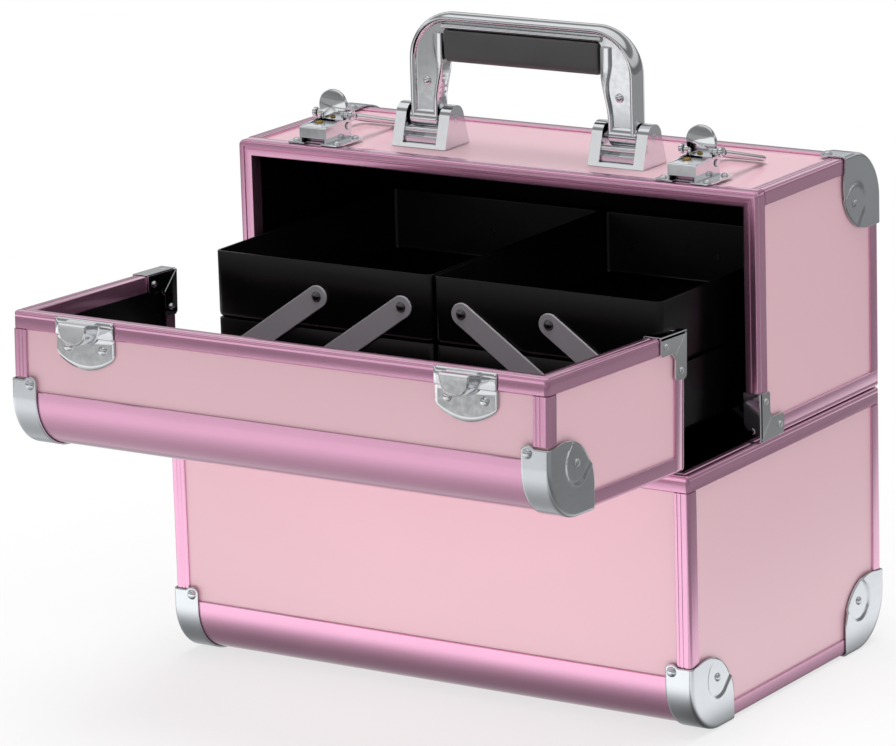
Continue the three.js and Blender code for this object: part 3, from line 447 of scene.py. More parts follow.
def shaded_corners(nodes, links, colour, reach, darkest):
    """The colour, darker within `reach` millimetres of another surface: painted shade in crevices, grooves and
    where parts meet.
    """
    hidden = nodes.new("ShaderNodeAmbientOcclusion")
    hidden.samples = 4
    hidden.inputs["Distance"].default_value = reach * MM
    shade = ramp(nodes, links, hidden.outputs["AO"], 0.15, 0.6, darkest, 1.0)
    mix = nodes.new("ShaderNodeMix")
    mix.data_type = "RGBA"
    links.new(shade, mix.inputs["Factor"])
    mix.inputs[6].default_value = (0.0, 0.0, 0.0, 1.0)
    links.new(colour, mix.inputs[7])
    return mix.outputs[2]


def panel_material():
    """Pale pink laminate: a soft sheen, fine orange-peel texture and faint tonal drift."""
    material, nodes, links, shader = new_material("pink_laminate")
    place = object_space(nodes)
    drift = noise(nodes, links, place, 9.0, 2.0)
    colour = blend_colours(nodes, links, drift, srgb(235, 189, 201), srgb(231, 185, 197))
    links.new(colour, shader.inputs["Base Color"])
    peel = noise(nodes, links, place, 1500.0, 2.0)
    links.new(ramp(nodes, links, peel, 0.3, 0.7, 0.34, 0.42), shader.inputs["Roughness"])
    bump(nodes, links, peel, 0.18, 0.05, shader)
    shader.inputs["Specular IOR Level"].default_value = 0.8
    shader.inputs["Coat Weight"].default_value = 0.6
    shader.inputs["Coat Roughness"].default_value = 0.3
    return material


def lining_material():
    """Black moulded plastic: glossy, with a very fine grain and slight unevenness."""
    material, nodes, links, shader = new_material("black_plastic")
    place = object_space(nodes)
    shader.inputs["Base Color"].default_value = srgb(9, 9, 10)
    cloud = noise(nodes, links, place, 14.0, 4.0)
    links.new(ramp(nodes, links, cloud, 0.3, 0.7, 0.2, 0.34), shader.inputs["Roughness"])
    grain = noise(nodes, links, place, 1800.0, 1.0)
    normal = bump(nodes, links, grain, 0.12, 0.03, shader)
    waves = noise(nodes, links, place, 22.0, 1.0)
    bump(nodes, links, waves, 0.25, 0.25, shader, normal)
    shader.inputs["Specular IOR Level"].default_value = 0.3
    return material


def anodised_material():
    """Mauve-pink anodised aluminium with fine drawing lines along each extrusion."""
    material, nodes, links, shader = new_material("anodised_pink")
    grain = nodes.new("ShaderNodeAttribute")
    grain.attribute_name = "grain"
    place = object_space(nodes)
    lines = noise(nodes, links, stretched(nodes, links, grain.outputs["Vector"], (7.0, 0.004, 1.0)), 1.0, 2.0)
    colour = blend_colours(nodes, links, lines, srgb(232, 160, 199), srgb(239, 170, 207))
    # painted shade: the colour darkens in the grooves and where the extrusions meet other parts
    links.new(shaded_corners(nodes, links, colour, 1.2, 0.35), shader.inputs["Base Color"])
    shader.inputs["Metallic"].default_value = 0.9
    shader.inputs["Coat Weight"].default_value = 1.0
    shader.inputs["Coat IOR"].default_value = 2.0
    shader.inputs["Coat Roughness"].default_value = 0.12
    drift = noise(nodes, links, place, 30.0, 2.0)
    links.new(ramp(nodes, links, drift, 0.3, 0.7, 0.22, 0.27), shader.inputs["Roughness"])
    bump(nodes, links, noise(nodes, links, place, 2200.0, 1.0), 0.06, 0.02, shader)
    return material


def steel_material():
    """Nickel-plated pressed steel: soft reflections, tiny scuffs."""
    material, nodes, links, shader = new_material("nickel_steel")
    place = object_space(nodes)
    cloud = noise(nodes, links, place, 60.0, 4.0)
    scuff = noise(nodes, links, stretched(nodes, links, place, (900.0, 120.0, 500.0)), 1.0, 5.0)
    colour = blend_colours(nodes, links, cloud, srgb(222, 226, 230), srgb(214, 218, 223))
    # painted shade: the colour darkens round rivets, rolled edges and where parts meet
    links.new(shaded_corners(nodes, links, colour, 1.5, 0.2), shader.inputs["Base Color"])
    shader.inputs["Metallic"].default_value = 1.0
    links.new(ramp(nodes, links, scuff, 0.3, 0.75, 0.16, 0.24), shader.inputs["Roughness"])
    bump(nodes, links, cloud, 0.04, 0.03, shader)
    return material


def chrome_material():
    """Bright chrome over a casting: mirror-like, with slow waves under the plating."""
    material, nodes, links, shader = new_material("chrome_plate")
    place = object_space(nodes)
    waves = noise(nodes, links, place, 55.0, 2.0)
    haze = noise(nodes, links, place, 300.0, 3.0)
    colour = blend_colours(nodes, links, haze, srgb(234, 236, 239), srgb(228, 230, 233))
    # painted shade: the colour darkens in crevices, round rivets and at contact lines
    links.new(shaded_corners(nodes, links, colour, 2.5, 0.12), shader.inputs["Base Color"])
    shader.inputs["Metallic"].default_value = 1.0
    links.new(ramp(nodes, links, haze, 0.35, 0.75, 0.05, 0.12), shader.inputs["Roughness"])
    bump(nodes, links, waves, 0.1, 0.12, shader)
    return material


def arm_material():
    """Grey plated strip steel, brushed along its length."""
    material, nodes, links, shader = new_material("plated_strip")
    grain = nodes.new("ShaderNodeAttribute")
    grain.attribute_name = "grain"
    lines = noise(nodes, links, stretched(nodes, links, grain.outputs["Vector"], (5.0, 0.05, 1.0)), 1.0, 4.0)
    colour = blend_colours(nodes, links, lines, srgb(200, 195, 203), srgb(218, 213, 220))
    links.new(colour, shader.inputs["Base Color"])
    shader.inputs["Metallic"].default_value = 0.2
    links.new(ramp(nodes, links, lines, 0.3, 0.7, 0.34, 0.46), shader.inputs["Roughness"])
    bump(nodes, links, lines, 0.15, 0.04, shader)
    return material


def grip_material():
    """Dark grey moulded grip, matte, with a fine leather-like grain."""
    material, nodes, links, shader = new_material("grip_plastic")
    place = object_space(nodes)
    cells = nodes.new("ShaderNodeTexVoronoi")
    cells.inputs["Scale"].default_value = 900.0
    links.new(place, cells.inputs["Vector"])
    tone = noise(nodes, links, place, 40.0, 3.0)
    colour = blend_colours(nodes, links, tone, srgb(74, 74, 75), srgb(92, 92, 93))
    links.new(colour, shader.inputs["Base Color"])
    links.new(ramp(nodes, links, tone, 0.3, 0.7, 0.42, 0.55), shader.inputs["Roughness"])
    bump(nodes, links, cells.outputs["Distance"], 0.2, 0.08, shader)
    return material


def brass_material():
    """Satin brass key cylinder."""
    material, nodes, links, shader = new_material("satin_brass")
    tone = noise(nodes, links, object_space(nodes), 400.0, 3.0)
    colour = blend_colours(nodes, links, tone, srgb(206, 178, 108), srgb(178, 148, 84))
    links.new(colour, shader.inputs["Base Color"])
    shader.inputs["Metallic"].default_value = 1.0
    links.new(ramp(nodes, links, tone, 0.3, 0.7, 0.22, 0.4), shader.inputs["Roughness"])
    return material


def rivet_material():
    """Darkened steel of the arms' rivets."""
    material, nodes, links, shader = new_material("dark_steel")
    tone = noise(nodes, links, object_space(nodes), 500.0, 3.0)
    colour = blend_colours(nodes, links, tone, srgb(120, 118, 122), srgb(92, 90, 94))
    links.new(colour, shader.inputs["Base Color"])
    shader.inputs["Metallic"].default_value = 1.0
    links.new(ramp(nodes, links, tone, 0.3, 0.7, 0.2, 0.38), shader.inputs["Roughness"])
    return material


MATERIALS = {
    "dark_steel": rivet_material(),
    "panel": panel_material(),
    "lining": lining_material(),
    "anodised": anodised_material(),
    "steel": steel_material(),
    "chrome": chrome_material(),
    "arm": arm_material(),
    "grip": grip_material(),
    "brass": brass_material(),
}

# ------------------------------------------------------------------ extrusion sections

RIM_DEEP = 9.5  # a rim's outer wall
RIM_WIDE = 8.6  # a rim's face
EDGE_WIDE = 8.8  # faces of the corner posts and edge strips
GROOVE = 0.28


def groove(middle):
    """A shallow groove across the first coordinate, drawn towards zero."""
    return [
        (middle + 0.55, 0.0),
        (middle + 0.3, GROOVE),
        (middle - 0.3, GROOVE),
        (middle - 0.55, 0.0),
    ]


def rim_section():
    """Channel that closes a wall's edge: flat outer wall, bull nose, two-ridged face, inner wall."""
    nose = 1.6
    outer = [(INSET, RIM_DEEP), (0.5, RIM_DEEP), (0.0, RIM_DEEP - 0.6)]
    outer += [(0.0, 3.4), (0.12, 3.1), (0.12, 2.8), (0.0, 2.5)]
    face = arc((nose, nose), nose, 180, 270, 5)
    face += [(3.5, 0.0), (3.9, 0.6), (4.5, 0.6), (4.9, 0.1), (RIM_WIDE - 1.0, 0.1)]
    face += [(RIM_WIDE - 0.3, 0.4), (RIM_WIDE, 1.0)]
    inner = [(RIM_WIDE, 8.8), (RIM_WIDE - 0.9, 8.8), (RIM_WIDE - 0.9, 1.7), (INSET, 1.7)]
    return outer + face + inner


def angle_section(first, second):
    """Angle over an edge, from a rounded corner: the first face ribbed, the second flat."""
    corner = 2.0
    ribbed = [(first, INSET), (first, 0.4), (first - 0.4, 0.0)]
    for middle in (first - 2.3, first - 4.6):
        ribbed += groove(middle)
    flat = [(0.0, second - 0.4), (0.4, second), (INSET, second)]
    return ribbed + arc((corner, corner), corner, 270, 180, 5) + flat + [(INSET, INSET)]


# ------------------------------------------------------------------ housings: outlines in Y and Z

BASE = {"y": (FRONT, REAR), "z": (BOTTOM, BASE_TOP), "round": (1, 1, 0, 0), "open": ("top",)}
FRONT_COVER = {
    "y": (FRONT, FRONT_SEAM),
    "z": (COVER_BOTTOM, TOP),
    "round": (0, 0, 0, 1),
    "open": ("bottom", "rear"),
}
REAR_COVER = {
    "y": (REAR_SEAM, REAR),
    "z": (COVER_BOTTOM, TOP),
    "round": (0, 0, 1, 0),
    "open": ("bottom", "front"),
}


def outline(housing, inset, trim, steps=20):
    """Housing outline, closed faces moved in by `inset`, open ones by `trim`."""

    def shift(side):
        return trim if side in housing["open"] else inset

    y0, y1 = housing["y"][0] + shift("front"), housing["y"][1] - shift("rear")
    z0, z1 = housing["z"][0] + shift("bottom"), housing["z"][1] - shift("top")
    corners = ((y0, z0, 1, 1, 180), (y1, z0, -1, 1, 270), (y1, z1, -1, -1, 0), (y0, z1, 1, -1, 90))
    points = []
    for (y, z, sy, sz, start), rounded in zip(corners, housing["round"]):
        if rounded:
            radius = RADIUS - inset
            points += arc((y + sy * radius, z + sz * radius), radius, start, start + 90, steps)
        else:
            points.append((y, z))
    return points


def tub(housing, inset, wall, trim):
    """A shell with side walls: the outline's skin between the side walls, plus both side walls."""
    half = HALF_W - inset
    skin_outer = outline(housing, inset, trim)
    skin_inner = outline(housing, inset + wall, trim)
    keep = ring_run(housing, skin_outer, skin_inner)
    skin = prism(keep, "x", -half + wall, half - wall)
    left = prism(skin_outer, "x", -half, -half + wall)
    right = prism(skin_outer, "x", half - wall, half)
    return skin + left + right


def ring_run(housing, outer, inner):
    """Closed outline of the skin: along the outer run, back along the inner one, open sides left out."""
    if housing is BASE:
        # The outline starts at the front bottom arc and ends with the two top corners.
        front_top, rear_top = outer[-1], outer[-2]
        front_in, rear_in = inner[-1], inner[-2]
        outer_run = [front_top] + outer[:-2] + [rear_top]
        inner_run = [front_in] + inner[:-2] + [rear_in]
    elif housing is FRONT_COVER:
        # Corners: bottom-front, bottom-rear, top-rear, then the top-front arc.
        outer_run = [outer[2]] + outer[3:] + [outer[0]]
        inner_run = [inner[2]] + inner[3:] + [inner[0]]
    else:
        # Corners: bottom-front, bottom-rear, then the top-rear arc, then top-front.
        outer_run = outer[1:]
        inner_run = inner[1:]
    return outer_run + list(reversed(inner_run))


def profile_strip(corner_y, corner_z, sy, sz):
    """Cross-section of a curved profile: a quarter round with a straight, slightly beaded lip each way."""
    bead = 0.35
    outer, inner = [], []
    centre = (corner_y + sy * RADIUS, corner_z + sz * RADIUS)
    for k in range(25):
        angle = math.pi / 2 * k / 24
        back, down = math.cos(angle), math.sin(angle)
        outer.append((centre[0] - sy * RADIUS * back, centre[1] - sz * RADIUS * down))
        thin = RADIUS - PROFILE_WALL
        inner.append((centre[0] - sy * thin * back, centre[1] - sz * thin * down))
    start = [
        (corner_y + sy * PROFILE_WALL, corner_z + sz * REACH),
        (corner_y + sy * bead, corner_z + sz * REACH),
        (corner_y, corner_z + sz * (REACH - bead)),
    ]
    end = [
        (corner_y + sy * (REACH - bead), corner_z),
        (corner_y + sy * REACH, corner_z + sz * bead),
        (corner_y + sy * REACH, corner_z + sz * PROFILE_WALL),
    ]
    return start + outer + end + list(reversed(inner))


# ------------------------------------------------------------------ corner caps

CAP_REACH = 42.5
CAP_TAB = 15.0
CAP_EDGE = 38.2  # height of the cap where it meets a corner post
CAP_PROUD = 1.2  # cap's surface outside the extrusions' faces
CAP_ROLL = 2.2
EAR = (11.3, 35.8, 4.2)  # rivet ear on the tab: distance from the side, height, radius
LOBE = (15.0, 13.5, 27.5, 26.4)  # ellipse of the side plate's inner edge: centre and two radii
CAP_RIVET = (26.8, 26.8)
LAND = 11.4  # radius of the pressed land round the side rivet
LAND_DEPTH = 0.85


def lobe_curve(t):
    """Inner boundary of a cap's side plate, from the post to the far end of the strip."""
    points = [(CAP_ROLL - CAP_PROUD, CAP_EDGE), (5.0, CAP_EDGE + 0.4)]
    points += [(LOBE[0] + LOBE[2] * a, LOBE[1] + LOBE[3] * b) for a, b in arc((0, 0), 1.0, 104, 0, 40)]
    points.append((CAP_REACH, CAP_ROLL - CAP_PROUD))
    run = lengths(points)
    target = t * run[-1]
    for i in range(len(points) - 1):
        if run[i + 1] >= target:
            share = (target - run[i]) / (run[i + 1] - run[i])
            a, b = points[i], points[i + 1]
            return (a[0] + (b[0] - a[0]) * share, a[1] + (b[1] - a[1]) * share)
    return points[-1]


def cap_outline():
    """The cap's outer edge as (point, outward normal) pairs, from the post round to the strip."""
    stations = []
    for k in range(14):
        height = CAP_EDGE + (RADIUS - CAP_EDGE) * k / 14
        stations.append(((-CAP_PROUD, height), (-1.0, 0.0)))
    for k in range(33):
        angle = math.radians(180 + 90 * k / 32)
        normal = (math.cos(angle), math.sin(angle))
        reach = RADIUS + CAP_PROUD
        stations.append(((RADIUS + reach * normal[0], RADIUS + reach * normal[1]), normal))
    for k in range(1, 17):
        along = RADIUS + (CAP_REACH - RADIUS) * k / 16
        stations.append(((along, -CAP_PROUD), (0.0, -1.0)))
    return stations


def smoothstep(low, high, value):
    share = min(1.0, max(0.0, (value - low) / (high - low)))
    return share * share * (3 - 2 * share)


def from_land(u, v):
    """Distance from the rivet; the land runs out to the lobe, so there only sideways distance counts."""
    du, dv = u - CAP_RIVET[0], v - CAP_RIVET[1]
    if du + dv > 0:
        return abs(du - dv) / math.sqrt(2)
    return math.hypot(du, dv)


def ear_height(inwards):
    """Height of the tab's free end at a distance from the side face."""
    offset = inwards - EAR[0]
    if abs(offset) >= EAR[2]:
        return CAP_EDGE
    crown = EAR[1] + math.sqrt(EAR[2] ** 2 - offset**2)
    return max(CAP_EDGE, crown) if offset < 0 else crown


def cap_shape():
    """One cap as an open sheet in (outwards, u, v): outwards from the side face, u and v along faces."""
    stations = cap_outline()
    rows = []
    count = len(stations)
    for i, ((u, v), (nu, nv)) in enumerate(stations):
        row = []
        top_share = max(0.0, (v - RADIUS) / (CAP_EDGE - RADIUS)) if i < 15 else 0.0
        for k in range(15):
            inwards = CAP_TAB - (CAP_TAB - CAP_ROLL + CAP_PROUD) * k / 14
            lift = (ear_height(inwards) - CAP_EDGE) * top_share
            row.append(Vector((-inwards, u, v + lift)))
        for k in range(1, 6):
            angle = math.pi / 2 * k / 5
            out = CAP_PROUD - CAP_ROLL + CAP_ROLL * math.sin(angle)
            back = CAP_ROLL * (1 - math.cos(angle))
            row.append(Vector((out, u - nu * back, v - nv * back)))
        inner_u, inner_v = u - nu * CAP_ROLL, v - nv * CAP_ROLL
        lobe_u, lobe_v = lobe_curve(i / (count - 1))
        for k in range(1, 27):
            share = k / 26
            pu = inner_u + (lobe_u - inner_u) * share
            pv = inner_v + (lobe_v - inner_v) * share
            drop = LAND_DEPTH * smoothstep(LAND, LAND - 1.3, from_land(pu, pv))
            row.append(Vector((CAP_PROUD - drop, pu, pv)))
        rows.append(row)
    return grid(rows)


def corner_cap(name, body, node, side, face_y, sign_y, face_z, sign_z, fold=False):
    """A cap on one end of a rounded edge; its riveted tab lies on the front or back, or on a cover's top."""
    along_y, along_z = (0, sign_y, 0, face_y), (0, 0, sign_z, face_z)
    if body != "base":
        along_y, along_z = (0, 0, sign_y, face_y), (0, sign_z, 0, face_z)
    place = Matrix(((side, 0, 0, side * HALF_W), along_y, along_z, (0, 0, 0, 1)))
    sheet_shape = cap_shape().moved(place)
    cap = make(name, sheet_shape, "steel", body, (node,), fold, sheet=1.0)
    cap.modifiers["thickness"].offset = 1 if outward_wrong(cap, fold, side) else -1
    rivets = [
        rivet((CAP_PROUD - LAND_DEPTH, *CAP_RIVET), (1, 0, 0), 2.4, 1.2),
        rivet((-EAR[0], -CAP_PROUD, EAR[1]), (0, -1, 0), 2.9, 1.7),
    ]
    heads = total(rivets).moved(place)
    make(name + "_rivets", heads, "steel", body, (), fold)
    return cap


def outward_wrong(piece, fold, side):
    """True if an open sheet's normals point into the case, judged on its side plate."""
    flat = [p for p in piece.data.polygons if abs(p.normal.x) > 0.99]
    return sum(p.normal.x * p.area for p in flat) * side < 0


# ------------------------------------------------------------------ corner brackets

BRACKET_SHEET = 0.9
BRACKET_LIP = 0.5  # what a bracket adds to the seam face, where the closed covers almost touch


def corner_bracket(name, body, node, side, housing, facing, fold=False):
    """Steel bracket at a cover's free bottom corner: side plate with two arms, folded onto the rim."""
    seam = housing["y"][1] if facing > 0 else housing["y"][0]
    floor = housing["z"][0]
    proud = BRACKET_SHEET + 0.15
    leg, tall, arm, foot = 25.0, 26.0, 10.0, 11.0
    side_plate = [(0.0, -0.2), (leg - 1.5, -0.2), (leg, 1.3)]
    side_plate += [(leg, foot - 1.5), (leg - 1.5, foot), (arm + 3.5, foot), (arm, foot + 3.5)]
    side_plate += [(arm, tall - 1.5), (arm - 1.5, tall), (0.0, tall)]
    plate = prism(side_plate, "x", 0.15, proud)
    fold_section = [(proud, 1.5), (proud, -0.2), (proud - 0.4, -BRACKET_LIP)]
    fold_section += [(-RIM_WIDE - 0.2, -BRACKET_LIP), (-RIM_WIDE - 0.2, -0.12)]
    fold_section += [(0.0, -0.12), (0.15, 0.0), (0.15, 1.5)]
    flange = prism(fold_section, "z", -0.2, tall)
    inside = -RIM_WIDE - 0.2
    inner = prism(side_plate, "x", inside - BRACKET_SHEET, inside)
    mitre = [(0.3, 0.9), (0.9, 0.3), (arm + 1.4, arm + 0.8), (arm + 0.8, arm + 1.4)]
    plate += inner + prism(mitre, "x", inside - 1.15, inside - 0.8) + prism(mitre, "x", proud - 0.1, proud + 0.22)
    spots = ((leg - 5.0, foot / 2), (arm / 2, tall - 5.0))
    heads = [rivet((proud, *spot), (1, 0, 0), 1.9, 1.1) for spot in spots]
    heads += [rivet((inside - BRACKET_SHEET, *spot), (-1, 0, 0), 1.9, 1.1) for spot in spots]
    heads.append(rivet((-RIM_WIDE / 2, 0.2 - BRACKET_LIP, foot / 2), (0, -1, 0), 1.9, 0.15))
    place = Matrix(
        (
            (side, 0, 0, side * HALF_W),
            (0, -facing, 0, seam),
            (0, 0, 1, floor),
            (0, 0, 0, 1),
        )
    )
    make(name, (plate + flange).moved(place), "chrome", body, (node,), fold, bevel=0.25)
    make(name + "_rivets", total(heads).moved(place), "chrome", body, (), fold)


# ------------------------------------------------------------------ housings


def boards(name, body, housing, nodes, fold=False):
    """Covered board panels and the black lining inside them."""
    panels = tub(housing, INSET, PANEL, 1.8)
    make(f"{name}_boards", panels, "panel", body, nodes, fold, bevel=0.15)
    inner = tub(housing, WALL, LINING, 1.9)
    make(f"{name}_inner_lining", inner, "lining", body, (f"{name}_lining",), fold, bevel=0.15)


def base_frame():
    """Rim, four corner posts and the two bottom side strips of the base."""
    section = rim_section()
    loop = [(-HALF_W, FRONT), (HALF_W, FRONT), (HALF_W, REAR), (-HALF_W, REAR)]
    corners = [(x, y, BASE_TOP) for x, y in loop]
    rim = sweep(section, corners, (0, 0, 1), closed=True, radius=2.2)
    make("base_rim", rim, "anodised", "base", ("base_frame",))
    low = BOTTOM + CAP_EDGE - 4.0
    high = BASE_TOP - RIM_DEEP
    strip = angle_section(EDGE_WIDE, EDGE_WIDE)
    for word, side in SIDES:
        for where, face, sign in (("front", FRONT, 1), ("rear", REAR, -1)):
            points = [(side * (HALF_W - a), face + sign * b) for a, b in strip]
            post = prism(points, "z", low, high)
            make(f"base_post_{where}_{word}", post, "anodised", "base")
        points = [(side * (HALF_W - a), BOTTOM + b) for a, b in strip]
        sole = prism(points, "y", FRONT + CAP_REACH - 3, REAR - CAP_REACH + 3)
        make(f"base_side_strip_{word}", sole, "anodised", "base")


def cover_frame(name, housing, facing, fold=False):
    """Seam rim, bottom rim, top side strips and corner posts of a cover."""
    seam = housing["y"][1] if facing > 0 else housing["y"][0]
    back = housing["y"][0] if facing > 0 else housing["y"][1]
    floor, roof = housing["z"]
    section = rim_section()
    low = floor + 0.8
    path = [(-HALF_W, seam, low), (-HALF_W, seam, roof), (HALF_W, seam, roof), (HALF_W, seam, low)]
    if facing > 0:
        path.reverse()
    rim = sweep(section, list(reversed(path)), (0, facing, 0), radius=3.2)
    make(f"{name}_seam_rim", rim, "anodised", name, (f"{name}_frame",), fold)
    start = seam - facing * 1.0
    path = [(-HALF_W, start, floor), (-HALF_W, back, floor), (HALF_W, back, floor), (HALF_W, start, floor)]
    if facing < 0:
        path.reverse()
    rim = sweep(section, list(reversed(path)), (0, 0, -1), radius=2.2)
    make(f"{name}_bottom_rim", rim, "anodised", name, (), fold)
    strip = angle_section(EDGE_WIDE, EDGE_WIDE)
    for word, side in SIDES:
        points = [(side * (HALF_W - a), back + facing * b) for a, b in strip]
        post = prism(points, "z", floor + RIM_DEEP, roof - CAP_EDGE + 4)
        make(f"{name}_post_{word}", post, "anodised", name, (), fold)
        points = [(side * (HALF_W - a), roof - b) for a, b in strip]
        near = back + facing * (CAP_REACH - 3)
        far = seam - facing * RIM_DEEP
        edge = prism(points, "y", min(near, far), max(near, far))
        make(f"{name}_top_strip_{word}", edge, "anodised", name, (), fold)


SIDES = (("left", -1), ("right", 1))


def housings():
    boards("base", "base", BASE, ("base_panels", "base_floor"))
    boards("front_cover", "front_cover", FRONT_COVER, ("front_cover_panels",), True)
    boards("rear_cover", "rear_cover", REAR_COVER, ("rear_cover_panels",))
    base_frame()
    cover_frame("front_cover", FRONT_COVER, 1, True)
    cover_frame("rear_cover", REAR_COVER, -1)
    half = HALF_W - 2.0
    curved = (
        ("base_front_edge", "base", "base_front_profile", FRONT, BOTTOM, 1, 1, False),
        ("base_rear_edge", "base", "base_rear_profile", REAR, BOTTOM, -1, 1, False),
        ("front_cover_edge", "front_cover", "front_cover_profile", FRONT, TOP, 1, -1, True),
        ("rear_cover_edge", "rear_cover", "rear_cover_profile", REAR, TOP, -1, -1, False),
    )
    for name, body, node, y, z, sy, sz, fold in curved:
        strip = prism(profile_strip(y, z, sy, sz), "x", -half, half)
        make(name, strip, "anodised", body, (node,), fold)
        for word, side in SIDES:
            cap = f"{body}_cap_{word}"
            if body == "base":
                cap = f"base_cap_{'front' if sy > 0 else 'rear'}_{word}"
            corner_cap(cap + "_shell", body, cap, side, y, sy, z, sz, fold)
    for word, side in SIDES:
        for cover, housing, facing, fold in (
            ("front_cover", FRONT_COVER, 1, True),
            ("rear_cover", REAR_COVER, -1, False),
        ):
            node = f"{cover}_bracket_{word}"
            corner_bracket(node + "_plate", cover, node, side, housing, facing, fold)


# ------------------------------------------------------------------ hinges


def hinge_leaf(name, body, node, facing, up, fold=False):
    """One leaf of a piano hinge with its knuckles rolled round the pin."""
    axis_y = FRONT_HINGE.y if facing < 0 else REAR_HINGE.y
    axis_z = FRONT_HINGE.z
    low, high = extent("front_hinge_base_leaf")
    half = high.x
    face = facing * (REAR + 0.15)
    count = 25
    pitch = 2 * half / count
    start = axis_z + up * 1.9
    end = start + up * 8.0
    ys = sorted((face, face + facing * 0.9))
    leaf = block(-half, half, *ys, min(start, end), max(start, end))
    parts = [leaf]
    for k in range(0 if up < 0 else 1, count, 2):
        x0 = -half + k * pitch + 0.15
        x1 = x0 + pitch - 0.3
        parts.append(rod(2.1, (x0, axis_y, axis_z), (x1, axis_y, axis_z), 20, 0.2))
        webs = sorted((face, axis_y))
        inner, outer = sorted((axis_z + up * 1.3, start + up * 0.5))
        parts.append(block(x0, x1, *webs, inner, outer))
    screws = []
    for k in range(7):
        x = -half + 2 * half * (k + 0.5) / 7
        screws.append(rivet((x, face + facing * 0.9, axis_z + up * 6.2), (0, facing, 0), 1.7, 0.7))
    make(name, total(parts), "steel", body, (node,), fold, bevel=0.12, segments=1)
    make(name + "_rivets", total(screws), "steel", body, (), fold)


def hinges():
    hinge_leaf("front_hinge_lower_leaf", "base", "front_hinge_base_leaf", -1, -1)
    hinge_leaf("rear_hinge_lower_leaf", "base", "rear_hinge_base_leaf", 1, -1)
    hinge_leaf("front_hinge_upper_leaf", "front_cover", "front_hinge_cover_leaf", -1, 1, True)
    hinge_leaf("rear_hinge_upper_leaf", "rear_cover", "rear_hinge_cover_leaf", 1, 1)


# ------------------------------------------------------------------ latches and catches

LATCH_X = 117.5
LEVER = joint("latch_right_lever")
BAIL = joint("latch_right_bail")
PLATE_FRONT = extent("latch_plate_right")[0].y
PLATE_LOW = TOP + 0.3
PLATE_HIGH = PLATE_LOW + 0.9


def plate_outline():
    """Latch plate seen from above: rounded corners and the notch for the catch's nose."""
    half, deep, corner, notch = 17.2, 27.0, 2.5, 5.5
    points = [(-notch, 3.6), (-notch, 0.0)]
    points += arc((-half + corner, corner), corner, 270, 180, 4)
    points += arc((-half + corner, deep - corner), corner, 180, 90, 4)
    points += arc((half - corner, deep - corner), corner, 90, 0, 4)
    points += arc((half - corner, corner), corner, 0, -90, 4)
    points += [(notch, 0.0), (notch, 3.6)]
    return [(x, PLATE_FRONT + y) for x, y in points]


def block_profile():
    """Side view of the latch's hollow block: a bright front with an arched recess under it."""
    y0 = PLATE_FRONT
    points = [(y0 + 1.6, 279.6), (y0 + 0.9, 280.3), (y0 + 0.9, 285.2)]
    points += arc((y0 + 2.1, 285.4), 1.2, 180, 90, 4)
    points += [(y0 + 18.5, 286.6), (y0 + 18.5, PLATE_HIGH - 0.2), (y0 + 4.5, PLATE_HIGH - 0.2)]
    points += [(y0 + 3.6, 279.0)]
    return points


def flange_profile():
    """Side view of a side flange: low at the front, swept up into the ear that carries the pin."""
    y0 = PLATE_FRONT
    ear = 4.2
    points = [(y0 + 0.8, PLATE_HIGH - 0.2), (y0 + 0.8, 285.2)]
    points += arc((y0 + 2.1, 285.4), 1.3, 180, 90, 3)
    points += [(y0 + 9.0, 286.9), (y0 + 14.5, 287.5)]
    points += arc((LEVER.y, LEVER.z), ear, 118, -35, 14)
    points += [(y0 + 26.0, PLATE_HIGH + 1.2), (y0 + 26.0, PLATE_HIGH - 0.2)]
    return points


def latch_plate(word, x):
    plate = prism(plate_outline(), "z", PLATE_LOW, PLATE_HIGH)
    block_half = 7.7
    parts = [plate, prism(block_profile(), "x", -block_half, block_half)]
    for side in (-1, 1):
        inner, outer = sorted((side * (block_half - 0.1), side * (block_half + 1.1)))
        parts.append(prism(flange_profile(), "x", inner, outer))
        parts.append(rod(2.1, (side * 8.7, LEVER.y, LEVER.z), (side * 9.7, LEVER.y, LEVER.z), 20, 0.4))
    name = f"latch_casting_{word}"
    node = f"latch_plate_{word}"
    make(name, total(parts).shifted(x), "chrome", "rear_cover", (node,), bevel=0.3)
    heads = [
        rivet((side * 13.4, PLATE_FRONT + deep, PLATE_HIGH), (0, 0, 1), 2.2, 1.4)
        for side in (-1, 1)
        for deep in (4.4, 22.8)
    ]
    make(f"latch_rivets_{word}", total(heads).shifted(x), "chrome", "rear_cover")


def key_cylinder(word, x):
    """Round brass barrel with a raised collar and a keyway."""
    at = Vector((x - 4.0, PLATE_FRONT + 13.5, 284.2))
    profile = [(0, 0), (2.35, 0), (2.35, 2.6), (2.2, 3.1), (1.75, 3.3), (1.65, 2.9), (0, 2.9)]
    barrel = lathe(profile, at, (0, 0, 1), 28)
    slot = block(at.x - 1.3, at.x + 1.3, at.y - 0.28, at.y + 0.28, at.z + 2.0, at.z + 4.0)
    name = f"latch_lock_{word}"
    make(f"key_cylinder_{word}", barrel, "brass", name, (name,), cut=slot)


def paddle_outline(scale=1.0, steps=28):
    """Front view of the lever's paddle about its middle: a disc that narrows to a straight foot."""
    radius, foot_half, foot = 9.2, 7.2, -11.8
    points = [(-foot_half * scale, foot * scale), (foot_half * scale, foot * scale)]
    points += [(x * scale, z * scale) for x, z in arc((0, 0), radius, -38, 218, steps)]
    return points


